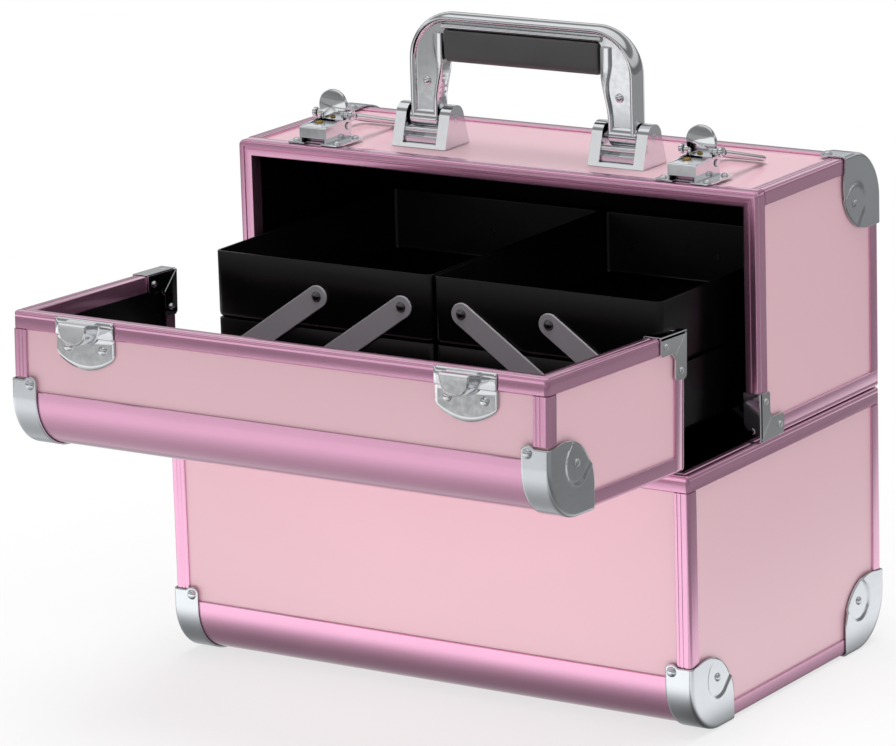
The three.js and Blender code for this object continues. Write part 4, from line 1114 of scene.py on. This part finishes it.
def latch_lever(word, x):
    middle = LEVER.z + 10.8
    face = LEVER.y - 1.7
    loops = []
    for scale in (0.2, 0.45, 0.7, 0.88, 0.96):
        loops.append([(px, face + 1.1 * scale**2 - 0.7, middle + pz) for px, pz in paddle_outline(scale)])
    for scale, deep in ((1.0, 0.9), (1.0, 2.3), (0.93, 2.3), (0.92, 1.5)):
        loops.append([(px, face + deep, middle + pz) for px, pz in paddle_outline(scale)])
    parts = [loft(loops)]
    for side in (-1, 1):
        inner, outer = sorted((side * 5.9, side * 7.2))
        cheek = [(face + 0.6, LEVER.z - 1.0), (LEVER.y, LEVER.z - 1.9), (LEVER.y + 1.9, LEVER.z)]
        cheek += arc((BAIL.y, BAIL.z), 2.2, 0, 180, 8)
        parts.append(prism(cheek, "x", inner, outer))
    parts.append(rod(1.25, (-9.3, LEVER.y, LEVER.z), (9.3, LEVER.y, LEVER.z), 20, 0.3))
    parts.append(rod(1.25, (-14.0, BAIL.y, BAIL.z), (14.0, BAIL.y, BAIL.z), 20, 0.4))
    for side in (-1, 1):
        start, end = sorted((side * 7.2, side * 10.4))
        parts.append(rod(2.2, (start, BAIL.y, BAIL.z), (end, BAIL.y, BAIL.z), 20, 0.4))
    body = f"latch_lever_{word}"
    make(f"latch_paddle_{word}", total(parts).shifted(x), "chrome", body, (body,), bevel=0.15)


def pipe(path, normal, wide, tall, segments=14):
    """An oval rod along a flat path: `wide` across the path in its plane, `tall` along the normal."""
    normal = Vector(normal)
    points = [Vector(p) for p in path]
    loops = []
    for i, point in enumerate(points):
        before = (point - points[i - 1]).normalized() if i else None
        after = (points[i + 1] - point).normalized() if i + 1 < len(points) else None
        tangent = ((before or after) + (after or before)).normalized()
        stretch = 1 / max(0.5, tangent.dot(after or before))
        across = normal.cross(tangent) * wide / 2 * stretch
        loop = []
        for k in range(segments):
            angle = 2 * math.pi * k / segments
            loop.append(point + across * math.cos(angle) + normal * (tall / 2 * math.sin(angle)))
        loops.append(loop)
    return loft(loops)


def latch_bail(word, x):
    """Bent wire loop on the lever's cross pin, lying back on the cover."""
    half, length, corner = 12.4, 47.5, 5.0
    droop = math.asin((BAIL.z - (TOP - INSET + 2.7)) / length)
    end = length + 0.6
    path = [(-half, 1.5, 0), (-half, end - corner, 0)]
    path += [(a, b, 0) for a, b in arc((-half + corner, end - corner), corner, 180, 90, 7)[1:]]
    path += [(-a, b, c) for a, b, c in reversed(path)]
    wire = pipe(path, (0, 0, 1), 4.6, 3.2)
    eyes = [rod(2.9, (side * 10.75, 0, 0), (side * 13.35, 0, 0), 24, 0.6) for side in (-1, 1)]
    turn = Matrix.Translation((x, BAIL.y, BAIL.z)) @ Matrix.Rotation(-droop, 4, "X")
    body = f"latch_bail_{word}"
    make(f"latch_wire_{word}", total([wire] + eyes).moved(turn), "chrome", body, (body,))


CATCH_HALF = 18.5


def catch_plate_sheet():
    """The catch's plate: over the rim, a step down to the panel, and a curved end."""
    high = TOP + 1.15
    low = high - INSET
    fixed = [(0.0, high), (4.0, high), (8.7, high), (9.2, high - 0.2), (9.8, low + 0.1), (10.3, low)]
    rows = []
    for i in range(25):
        share = -1 + 2 * i / 24
        corner = max(0.0, (abs(share) - 0.88) / 0.12)
        reach = 19.7 + 7.3 * (1 - share**2) - 1.8 * corner**2
        row = [Vector((share * CATCH_HALF, FRONT_SEAM - d, z)) for d, z in fixed]
        for k in range(1, 8):
            d = 10.3 + (reach - 10.3) * k / 7
            row.append(Vector((share * CATCH_HALF, FRONT_SEAM - d, low)))
        rows.append(row)
    return grid(rows)


def nose_outline(scale, flat):
    """D-shaped section of the catch's nose; `flat` shifts its straight side towards the panel."""
    half, length = 9.0, 12.0
    points = [(half * scale, FRONT_SEAM - flat)]
    for x, y in arc((0, 0), 1.0, 0, -180, 20):
        squared = (abs(x) ** 0.86) * (1 if x > 0 else -1)
        points.append((half * scale * squared, FRONT_SEAM - 3.0 + (length - 3.0) * scale * y))
    points.append((-half * scale, FRONT_SEAM - flat))
    return points


def catch_nose():
    levels = (
        (1.16, 0.3, 0.9),
        (1.03, 0.5, 1.6),
        (1.0, 0.5, 4.2),
        (1.0, 1.3, 4.5),
        (1.0, 1.3, 7.6),
        (1.0, 0.5, 7.9),
        (1.0, 0.5, 11.3),
        (0.9, 1.4, 12.3),
        (0.86, 1.8, 12.3),
        (0.85, 1.9, 12.0),
    )
    loops = []
    for scale, flat, height in levels:
        loops.append([(x, y, TOP + height) for x, y in nose_outline(scale, flat)])
    return loft(loops)


def catch(word, x):
    name = f"catch_{word}"
    plate = make(f"{name}_plate", catch_plate_sheet().shifted(x), "chrome", "front_cover", (name,), True,
                 sheet=0.9)
    thickness = plate.modifiers["thickness"]
    thickness.offset = -1
    nose = catch_nose().shifted(x)
    make(f"{name}_nose", nose, "chrome", "front_cover", (), True, bevel=0.15)
    low = TOP + 1.15 - INSET
    heads = [rivet((side * 11, FRONT_SEAM - 15.5, low), (0, 0, 1), 2.8, 1.9) for side in (-1, 1)]
    make(f"{name}_rivets", total(heads).shifted(x), "chrome", "front_cover", (), True)


def latches():
    for word, side in SIDES:
        x = side * LATCH_X
        latch_plate(word, x)
        key_cylinder(word, x)
        latch_lever(word, x)
        latch_bail(word, x)
        catch(word, x)


# ------------------------------------------------------------------ carry handle

HANDLE = joint("handle_fold")
BOW_HALF = 72.9
BOW_TOP = extent("handle_bow")[1].z
BOW_CORNER = 27.0
BOW_BEAD = 5.4  # width of the bead along the bow's outer edge
BOW_THICK = 12.4
LEG_FOOT = 18.4  # width of a leg at its foot
LEG_HEAD = 22.5
BRACKET_X = 63.0
GRIP_LOW, GRIP_HIGH = (corner.z for corner in extent("handle_grip"))


def bow_path(inset, foot):
    """Runs up one leg, round the corners and down the other leg, `inset` inside the outer edge."""
    half, top, radius = BOW_HALF - inset, BOW_TOP - inset, BOW_CORNER - inset
    points = [(-half, foot), (-half, (foot + top - radius) / 2)]
    points += arc((-half + radius, top - radius), radius, 180, 90, 14)
    points += [(-x, z) for x, z in reversed(points)]
    return points


def leg_inner(height):
    """Half width of the space between the legs at a height."""
    share = smoothstep(HANDLE.z + 8, GRIP_LOW + 2, height)
    return BOW_HALF - LEG_FOOT - (LEG_HEAD - LEG_FOOT) * share


def bow_web():
    """Flat, recessed body of the bow between its outer bead and its inner edge."""
    outer = bow_path(2.0, HANDLE.z - 1)
    bar_low = GRIP_HIGH + 0.6
    inner = [(leg_inner(z), z) for z in [HANDLE.z - 1 + (GRIP_LOW - HANDLE.z) * k / 10 for k in range(11)]]
    inner += [(leg_inner(GRIP_LOW + 4) - 0.4, bar_low - 2.0), (leg_inner(GRIP_LOW + 4) - 2.0, bar_low)]
    inner += [(-x, z) for x, z in reversed(inner)]
    outline_points = outer + inner
    thick = BOW_THICK / 2 - 2.4
    return prism(outline_points, "y", HANDLE.y - thick, HANDLE.y + thick)


def leg_flange(side):
    """Raised edge down the inner side of a leg, widening towards the grip."""
    loops = []
    for k in range(15):
        z = HANDLE.z + 1 + (GRIP_HIGH - HANDLE.z - 3) * k / 14
        inner = leg_inner(z)
        wide = 2.6 + 3.6 * smoothstep(HANDLE.z + 22, GRIP_LOW + 6, z)
        loop = []
        for x, y in rounded_rectangle(inner, inner + wide, BOW_THICK - 0.8, 1.2):
            loop.append((side * x, HANDLE.y + y, z))
        loops.append(loop)
    return loft(loops)


def rounded_rectangle(x0, x1, deep, radius):
    """Section from x0 to x1, `deep` front to back about zero, with rounded corners."""
    half = deep / 2
    points = arc((x1 - radius, half - radius), radius, 0, 90, 3)
    points += arc((x0 + radius, half - radius), radius, 90, 180, 3)
    points += arc((x0 + radius, -half + radius), radius, 180, 270, 3)
    points += arc((x1 - radius, -half + radius), radius, 270, 360, 3)
    return points


def handle_bow():
    bead_path = [(x, HANDLE.y, z) for x, z in bow_path(BOW_BEAD / 2, HANDLE.z)]
    bead = pipe(bead_path, (0, 1, 0), BOW_BEAD, BOW_THICK, 20)
    parts = [bead, bow_web()]
    lip = rounded_rectangle(GRIP_HIGH + 0.5, GRIP_HIGH + 3.4, BOW_THICK - 1.2, 1.2)
    parts.append(prism([(HANDLE.y + y, z) for z, y in lip], "x", -51.0, 51.0))
    axle = extent("handle_bow")[1].x
    for side in (-1, 1):
        parts.append(leg_flange(side))
        foot_x = side * (BOW_HALF - LEG_FOOT / 2)
        a, b = sorted((foot_x - LEG_FOOT / 2, foot_x + LEG_FOOT / 2))
        parts.append(rod(BOW_THICK / 2, (a, HANDLE.y, HANDLE.z), (b, HANDLE.y, HANDLE.z), 32, 0.8))
        a, b = sorted((side * axle, side * (2 * BRACKET_X - axle)))
        parts.append(rod(2.5, (a, HANDLE.y, HANDLE.z), (b, HANDLE.y, HANDLE.z), 24, 0.5))
    make("bow", total(parts), "chrome", "handle", ("handle_bow",), bevel=0.4)
    screws = []
    for side in (-1, 1):
        for facing in (-1, 1):
            at = (side * (BOW_HALF - 11.5), HANDLE.y + facing * (BOW_THICK / 2 - 2.4), HANDLE.z + 21)
            screws.append(rivet(at, (0, facing, 0), 2.6, 1.5))
    make("bow_screws", total(screws), "chrome", "handle")


def handle_grip():
    """Moulded grip insert: flat faces, full-round lower edges and rounded ends."""
    half = extent("handle_grip")[1].x
    loops = []
    deep = 12.6
    for x, shrink in ((0.0, 1.0), (0.5, 0.35), (1.4, 0.0)):
        loops.append((-half + x, shrink))
    for x, shrink in ((1.4, 0.0), (0.5, 0.35), (0.0, 1.0)):
        loops.append((half - x, shrink))
    rings = []
    for x, shrink in loops:
        low, high, side_half = GRIP_LOW + shrink, GRIP_HIGH - shrink * 0.3, deep / 2 - shrink
        ring = arc((HANDLE.y + side_half - 4.6, low + 4.6), 4.6, 270, 360, 6)
        ring += arc((HANDLE.y + side_half - 1.0, high - 1.0), 1.0, 0, 90, 3)
        ring += arc((HANDLE.y - side_half + 1.0, high - 1.0), 1.0, 90, 180, 3)
        ring += arc((HANDLE.y - side_half + 4.6, low + 4.6), 4.6, 180, 270, 6)
        rings.append([(x, y, z) for y, z in ring])
    make("grip", loft(rings), "grip", "handle", ("handle_grip",))


def handle_bracket(word, side):
    """Cast bracket: sloping cheeks with round tops, a floor between them and a small front window."""
    x = side * BRACKET_X
    low = TOP - INSET + 0.15
    half, foot, top = 17.5, 12.5, 7.5
    slot_half = 10.8

    def cheek(a, b):
        points = [(HANDLE.y - foot, low), (HANDLE.y + foot, low)]
        points += arc((HANDLE.y, HANDLE.z), top, 8, 172, 18)
        return prism(points, "x", a, b)

    floor_top = HANDLE.z - 8.6
    floor_front = HANDLE.y - foot
    sill = [(floor_front, low), (HANDLE.y + foot, low), (HANDLE.y + foot - 1.7, low + 4.6)]
    sill += [(HANDLE.y + foot - 3, floor_top), (floor_front + 7, floor_top - 3.2)]
    sill += [(floor_front + 7, low + 2.6), (floor_front + 0.7, low + 2.2)]
    parts = [
        cheek(x - half, x - slot_half),
        cheek(x + slot_half, x + half),
        prism(sill, "x", x - slot_half - 0.1, x + slot_half + 0.1),
        rod(1.5, (x - slot_half - 0.1, HANDLE.y - 7.6, HANDLE.z - 6.4),
            (x + slot_half + 0.1, HANDLE.y - 7.6, HANDLE.z - 6.4), 16, 0.1),
    ]
    node = f"handle_bracket_{word}"
    make(f"bracket_{word}", total(parts), "chrome", "rear_cover", (node,), bevel=0.5)
    pad = block(x - slot_half, x + slot_half * 0.98, floor_front + 3.0, floor_front + 6.9, low + 2.3, low + 5.6)
    make(f"bracket_pad_{word}", pad, "steel", "rear_cover", (), bevel=0.4)


# ------------------------------------------------------------------ cantilever trays


def tray_ring(x0, x1, y0, y1, radius, z):
    points = arc((x1 - radius, y1 - radius), radius, 0, 90, 6)
    points += arc((x0 + radius, y1 - radius), radius, 90, 180, 6)
    points += arc((x0 + radius, y0 + radius), radius, 180, 270, 6)
    points += arc((x1 - radius, y0 + radius), radius, 270, 360, 6)
    return [(x, y, z) for x, y in points]


def tray(node):
    """Vacuum-formed tray: rounded corners, a thickened rim and filleted floor."""
    low, high = extent(node)

    def ring(inset, z, radius):
        return tray_ring(low.x + inset, high.x - inset, low.y + inset, high.y - inset, radius, z)

    base, top = low.z, high.z
    rings = [
        ring(2.6, base, 2.0),
        ring(1.2, base + 0.35, 2.8),
        ring(0.35, base + 1.3, 3.6),
        ring(0.0, base + 2.8, 4.0),
        ring(0.0, top - 0.5, 4.0),
        ring(0.25, top - 0.1, 3.8),
        ring(0.55, top, 3.5),
        ring(1.25, top, 3.0),
        ring(1.6, top - 0.2, 2.6),
        ring(1.75, top - 0.7, 2.5),
        ring(1.75, base + 4.0, 2.5),
        ring(2.2, base + 2.6, 2.4),
        ring(3.2, base + 1.8, 2.2),
        ring(4.6, base + 1.5, 2.0),
    ]
    make(f"{node}_shell", loft(rings), "lining", node, (node,))


def tray_arm(kind, word, where, side, end):
    """Flat steel link with rounded ends, chamfered edges and domed rivets."""
    pivots = PIVOTS[kind]
    body = f"arms_{kind}_{word}"
    node = f"arm_{kind}_{word}_{where}"
    low, high = extent(node)
    (xa, za), (xb, zb) = pivots[0], pivots[-1]
    length = math.dist((xa, za), (xb, zb))
    angle = math.atan2(zb - za, side * (xb - xa))
    radius = 6.25
    outline_points = arc((0, 0), radius, 90, 270, 14) + arc((length, 0), radius, -90, 90, 14)
    near = end * (TRAY_HALF + 0.3)
    far = end * (TRAY_HALF + 1.8)
    bar = prism(outline_points, "y", min(near, far), max(near, far))
    turn = Matrix.Translation((side * xa, 0, za)) @ Matrix.Rotation(-angle, 4, "Y")
    make(f"link_{kind}_{word}_{where}", bar.moved(turn), "arm", body, (node,), bevel=0.45)
    heads = []
    for i, (px, pz) in enumerate(pivots):
        inward = not (i == len(pivots) - 1 and kind in ("long", "lower"))
        at = (side * px, far if inward else near, pz)
        heads.append(rivet(at, (0, end if inward else -end, 0), 3.0, 1.5))
        reach = near - end * 2.2 if inward else far + end * 3.0
        start = far - end * 0.4 if inward else near + end * 0.4
        heads.append(rod(1.9, (side * px, start, pz), (side * px, reach, pz), 16, 0.2))
    make(f"link_rivets_{kind}_{word}_{where}", total(heads), "dark_steel", body)


TRAY_HALF = extent("tray_upper_right")[1].y


def pivot(name):
    """Place of a right-hand tray joint in X and Z."""
    place = joint(name)
    return (place.x, place.z)


def arm_pivots():
    """The pivots of the right-hand arms, read off the arms' own ends."""
    places = {}
    for kind in ("long", "upper", "lower"):
        low, high = extent(f"arm_{kind}_right_front")
        radius = 6.25
        places[kind] = [(low.x + radius, high.z - radius), (high.x - radius, low.z + radius)]
    top, foot = places["long"]
    drop = top[1] - places["upper"][1][1]
    share = drop / (top[1] - foot[1])
    places["long"].insert(1, (top[0] + (foot[0] - top[0]) * share, top[1] - drop))
    return places


PIVOTS = arm_pivots()


def trays():
    for word, side in SIDES:
        for level in ("upper", "lower"):
            tray(f"tray_{level}_{word}")
        for kind in ("long", "upper", "lower"):
            for where, end in (("front", -1), ("rear", 1)):
                tray_arm(kind, word, where, side, end)


def lining_bosses():
    """Round bosses on the base's lining that carry the arms' lowest pivots."""
    wall = REAR - WALL - LINING
    tip = TRAY_HALF + 2.1
    parts = []
    for side in (-1, 1):
        for end in (-1, 1):
            for x, z in (PIVOTS["long"][-1], PIVOTS["lower"][-1]):
                parts.append(rod(5.0, (side * x, end * (wall + 0.2), z), (side * x, end * tip, z), 28, 0.6))
    make("lining_bosses", total(parts), "lining", "base")


def lining_rivets():
    """Rivet tails seen inside the rear cover, on its back wall: six in a row near the bottom and four higher up.
    """
    inner_rear = REAR - WALL - LINING
    heads = []
    for x in (-125.0, -75.0, -25.0, 25.0, 75.0, 125.0):
        heads.append(rivet((x, inner_rear, COVER_BOTTOM + 11), (0, -1, 0), 2.2, 0.9))
    for x in (-72.0, -54.0, 54.0, 72.0):
        heads.append(rivet((x, inner_rear, TOP - 62), (0, -1, 0), 2.6, 1.0))
    make("rear_cover_lining_rivets", total(heads), "dark_steel", "rear_cover")


housings()
hinges()
latches()
handle_bow()
handle_grip()
for side_word, side_sign in SIDES:
    handle_bracket(side_word, side_sign)
trays()
lining_bosses()
lining_rivets()

# ------------------------------------------------------------------ studio

# Tones seen in reflections, as (position, brightness). Positions run along 1.6 m of table.
TABLE_SPAN = 1.6
TABLE_FRONT = (
    (0.0, 0.7),
    (0.03, 1.35),
    (0.2, 1.3),
    (0.35, 1.0),
    (0.58, 0.9),
    (0.63, 0.4),
    (0.7, 0.4),
    (0.76, 1.0),
)
TABLE_BELOW = (0.28, 0.9, 1.0, 0.24)  # the steeper a reflection looks down, the darker
TABLE_RIGHT = ((0.0, 0.3), (0.104, 0.35), (0.12, 1.1), (0.16, 0.95), (0.22, 0.3), (0.33, 0.2), (0.42, 0.3))
TABLE_LEFT_EDGE = (-0.97, -0.88)  # the bright part ends here, metres to the left
TABLE_GREY = 0.36
WORLD_LIGHT = (0.5, 0.38)  # soft light from the left and from the right
TABLE_LIGHT = 1.1  # light thrown back up by the table
WORLD_SIDES = (1.05, 0.7)
WORLD_BANDS = (  # from straight down to straight up
    (0.0, 0.4),
    (0.5, 0.3),
    (0.56, 0.25),
    (0.62, 0.95),
    (0.7, 1.0),
    (0.75, 0.35),
    (0.84, 0.3),
    (0.9, 1.1),
)


def tone_curve(nodes, links, value, stops):
    """Brightness by position along a smooth grey scale."""
    scale = nodes.new("ShaderNodeValToRGB")
    scale.color_ramp.interpolation = "EASE"
    elements = scale.color_ramp.elements
    while len(elements) < len(stops):
        elements.new(0.5)
    for element, (position, tone) in zip(elements, stops):
        element.position = position
        element.color = (tone, tone, tone, 1)
    links.new(value, scale.inputs["Fac"])
    return scale.outputs["Color"]


def shader_choice(nodes, links, flag, first, second):
    """Second shader where the flag is set, first elsewhere."""
    mix = nodes.new("ShaderNodeMixShader")
    links.new(flag, mix.inputs["Fac"])
    links.new(first, mix.inputs[1])
    links.new(second, mix.inputs[2])
    return mix.outputs["Shader"]


def multiply(nodes, links, first, second):
    node = nodes.new("ShaderNodeMath")
    node.operation = "MULTIPLY"
    links.new(first, node.inputs[0])
    links.new(second, node.inputs[1])
    return node.outputs[0]


def table_reflection(nodes, links, place):
    """What shiny parts see of the table: shaded close to the case, grey to the far left and the right."""
    split = nodes.new("ShaderNodeSeparateXYZ")
    links.new(place, split.inputs["Vector"])
    ahead = ramp(nodes, links, split.outputs["Y"], FRONT * MM, FRONT * MM - TABLE_SPAN, 0.0, 1.0)
    front = tone_curve(nodes, links, ahead, TABLE_FRONT)
    grey = ramp(nodes, links, split.outputs["X"], *TABLE_LEFT_EDGE, TABLE_GREY, 1.0)
    away = ramp(nodes, links, split.outputs["X"], 0.0, TABLE_SPAN, 0.0, 1.0)
    beside = ramp(nodes, links, split.outputs["X"], HALF_W * MM - 0.02, HALF_W * MM, 0.0, 1.0)
    tones = nodes.new("ShaderNodeMix")
    links.new(beside, tones.inputs["Factor"])
    links.new(multiply(nodes, links, front, grey), tones.inputs[2])
    links.new(tone_curve(nodes, links, away, TABLE_RIGHT), tones.inputs[3])
    facing = nodes.new("ShaderNodeSeparateXYZ")
    links.new(nodes.new("ShaderNodeNewGeometry").outputs["Incoming"], facing.inputs["Vector"])
    below = ramp(nodes, links, facing.outputs["Z"], *TABLE_BELOW)
    glow = nodes.new("ShaderNodeEmission")
    links.new(multiply(nodes, links, tones.outputs[0], below), glow.inputs["Strength"])
    return glow.outputs["Emission"]


def white_sweep(nodes, links, place, path, shader):
    """The table as the camera sees it: shadows close to the case fade out into plain white."""
    distance = nodes.new("ShaderNodeVectorMath")
    distance.operation = "LENGTH"
    links.new(place, distance.inputs[0])
    far = ramp(nodes, links, distance.outputs["Value"], 0.2, 0.42, 0.7, 1.0)
    white = nodes.new("ShaderNodeEmission")
    seen = multiply(nodes, links, far, path.outputs["Is Camera Ray"])
    lit = nodes.new("ShaderNodeEmission")
    lit.inputs["Strength"].default_value = TABLE_LIGHT
    under = shader_choice(nodes, links, path.outputs["Is Diffuse Ray"], shader, lit.outputs["Emission"])
    return shader_choice(nodes, links, seen, under, white.outputs["Emission"])


def floor_and_backdrop():
    """Plain white table."""
    mesh = bpy.data.meshes.new("studio_floor")
    reach = 6.0
    corners = [(-reach, -reach), (reach, -reach), (reach, reach), (-reach, reach)]
    mesh.from_pydata([(x, y, (BOTTOM - INSET - 0.1) * MM) for x, y in corners], [], [(0, 1, 2, 3)])
    floor = bpy.data.objects.new("studio_floor", mesh)
    bpy.context.scene.collection.objects.link(floor)
    material, nodes, links, shader = new_material("studio_floor")
    place = object_space(nodes)
    tone = noise(nodes, links, place, 3.0, 2.0)
    colour = blend_colours(nodes, links, tone, (0.86, 0.86, 0.86, 1), (0.88, 0.88, 0.88, 1))
    links.new(colour, shader.inputs["Base Color"])
    shader.inputs["Roughness"].default_value = 0.7
    path = nodes.new("ShaderNodeLightPath")
    plain = white_sweep(nodes, links, place, path, shader.outputs["BSDF"])
    mirrored = table_reflection(nodes, links, place)
    surface = shader_choice(nodes, links, path.outputs["Is Glossy Ray"], plain, mirrored)
    links.new(surface, nodes["Material Output"].inputs["Surface"])
    mesh.materials.append(material)


def area_light(name, place, target, size, power):
    """A soft lamp that lights the case but isn't mirrored in it."""
    data = bpy.data.lights.new(name, "AREA")
    data.shape = "RECTANGLE"
    data.size, data.size_y = size
    data.energy = power
    light = bpy.data.objects.new(name, data)
    light.visible_glossy = False
    light.location = place
    light.rotation_mode = "QUATERNION"
    light.rotation_quaternion = (Vector(target) - Vector(place)).to_track_quat("-Z", "Y")
    bpy.context.scene.collection.objects.link(light)


def studio_world():
    """White room for the camera, soft light from the left, banded tones for reflections."""
    world = bpy.data.worlds.new("studio")
    bpy.context.scene.world = world
    world.use_nodes = True
    nodes, links = world.node_tree.nodes, world.node_tree.links
    nodes.clear()
    split = nodes.new("ShaderNodeSeparateXYZ")
    links.new(nodes.new("ShaderNodeTexCoord").outputs["Generated"], split.inputs["Vector"])
    path = nodes.new("ShaderNodeLightPath")

    def background(strength=None):
        node = nodes.new("ShaderNodeBackground")
        if strength is not None:
            links.new(strength, node.inputs["Strength"])
        return node.outputs["Background"]

    soft = ramp(nodes, links, split.outputs["X"], -1.0, 1.0, *WORLD_LIGHT)
    height = ramp(nodes, links, split.outputs["Z"], -1.0, 1.0, 0.0, 1.0)
    bands = tone_curve(nodes, links, height, WORLD_BANDS)
    sideways = ramp(nodes, links, split.outputs["X"], -0.6, 0.9, *WORLD_SIDES)
    mirror = multiply(nodes, links, bands, sideways)
    inner = shader_choice(nodes, links, path.outputs["Is Glossy Ray"], background(soft), background(mirror))
    surface = shader_choice(nodes, links, path.outputs["Is Camera Ray"], inner, background())
    output = nodes.new("ShaderNodeOutputWorld")
    links.new(surface, output.inputs["Surface"])


def camera():
    """Long lens, looking down on the front-right corner, rolled slightly."""
    azimuth, elevation, roll = math.radians(32.93), math.radians(14.3), math.radians(-1.65)
    distance = 2738.0
    focal = 5173.7 / 896 * 36
    target = Vector((26.0, FRONT, 175.6))
    back = Vector(
        (
            math.sin(azimuth) * math.cos(elevation),
            -math.cos(azimuth) * math.cos(elevation),
            math.sin(elevation),
        )
    )
    right = (-back).cross(Vector((0, 0, 1))).normalized()
    up = right.cross(-back)
    tilted_right = right * math.cos(roll) + up * math.sin(roll)
    tilted_up = up * math.cos(roll) - right * math.sin(roll)
    data = bpy.data.cameras.new("camera")
    data.lens = focal
    data.sensor_width = 36
    data.shift_x = -0.0125
    data.shift_y = 0.0115
    data.clip_end = 50
    eye = bpy.data.objects.new("camera", data)
    turn = Matrix((tilted_right, tilted_up, back)).transposed().to_4x4()
    eye.matrix_world = Matrix.Translation((target + back * distance) * MM) @ turn
    bpy.context.scene.collection.objects.link(eye)
    bpy.context.scene.camera = eye


floor_and_backdrop()
area_light("key", (-1.6, -4.2, 2.6), (0, 0, 0.15), (2.4, 2.0), 10)
area_light("front_bounce", (-0.05, -0.32, 0.0), (-0.05, -0.32, 1.0), (0.8, 0.36), 0.6)
area_light("back", (0.4, 4.5, 1.2), (0, 0, 0.15), (2.0, 1.6), 26)
area_light("side", (4.0, -0.6, 1.2), (0, 0, 0.15), (1.8, 1.8), 24)
area_light("top", (0.1, 0.2, 3.2), (0, 0, 0.15), (2.0, 2.0), 75)
studio_world()
camera()
bpy.context.scene.view_settings.view_transform = "Standard"
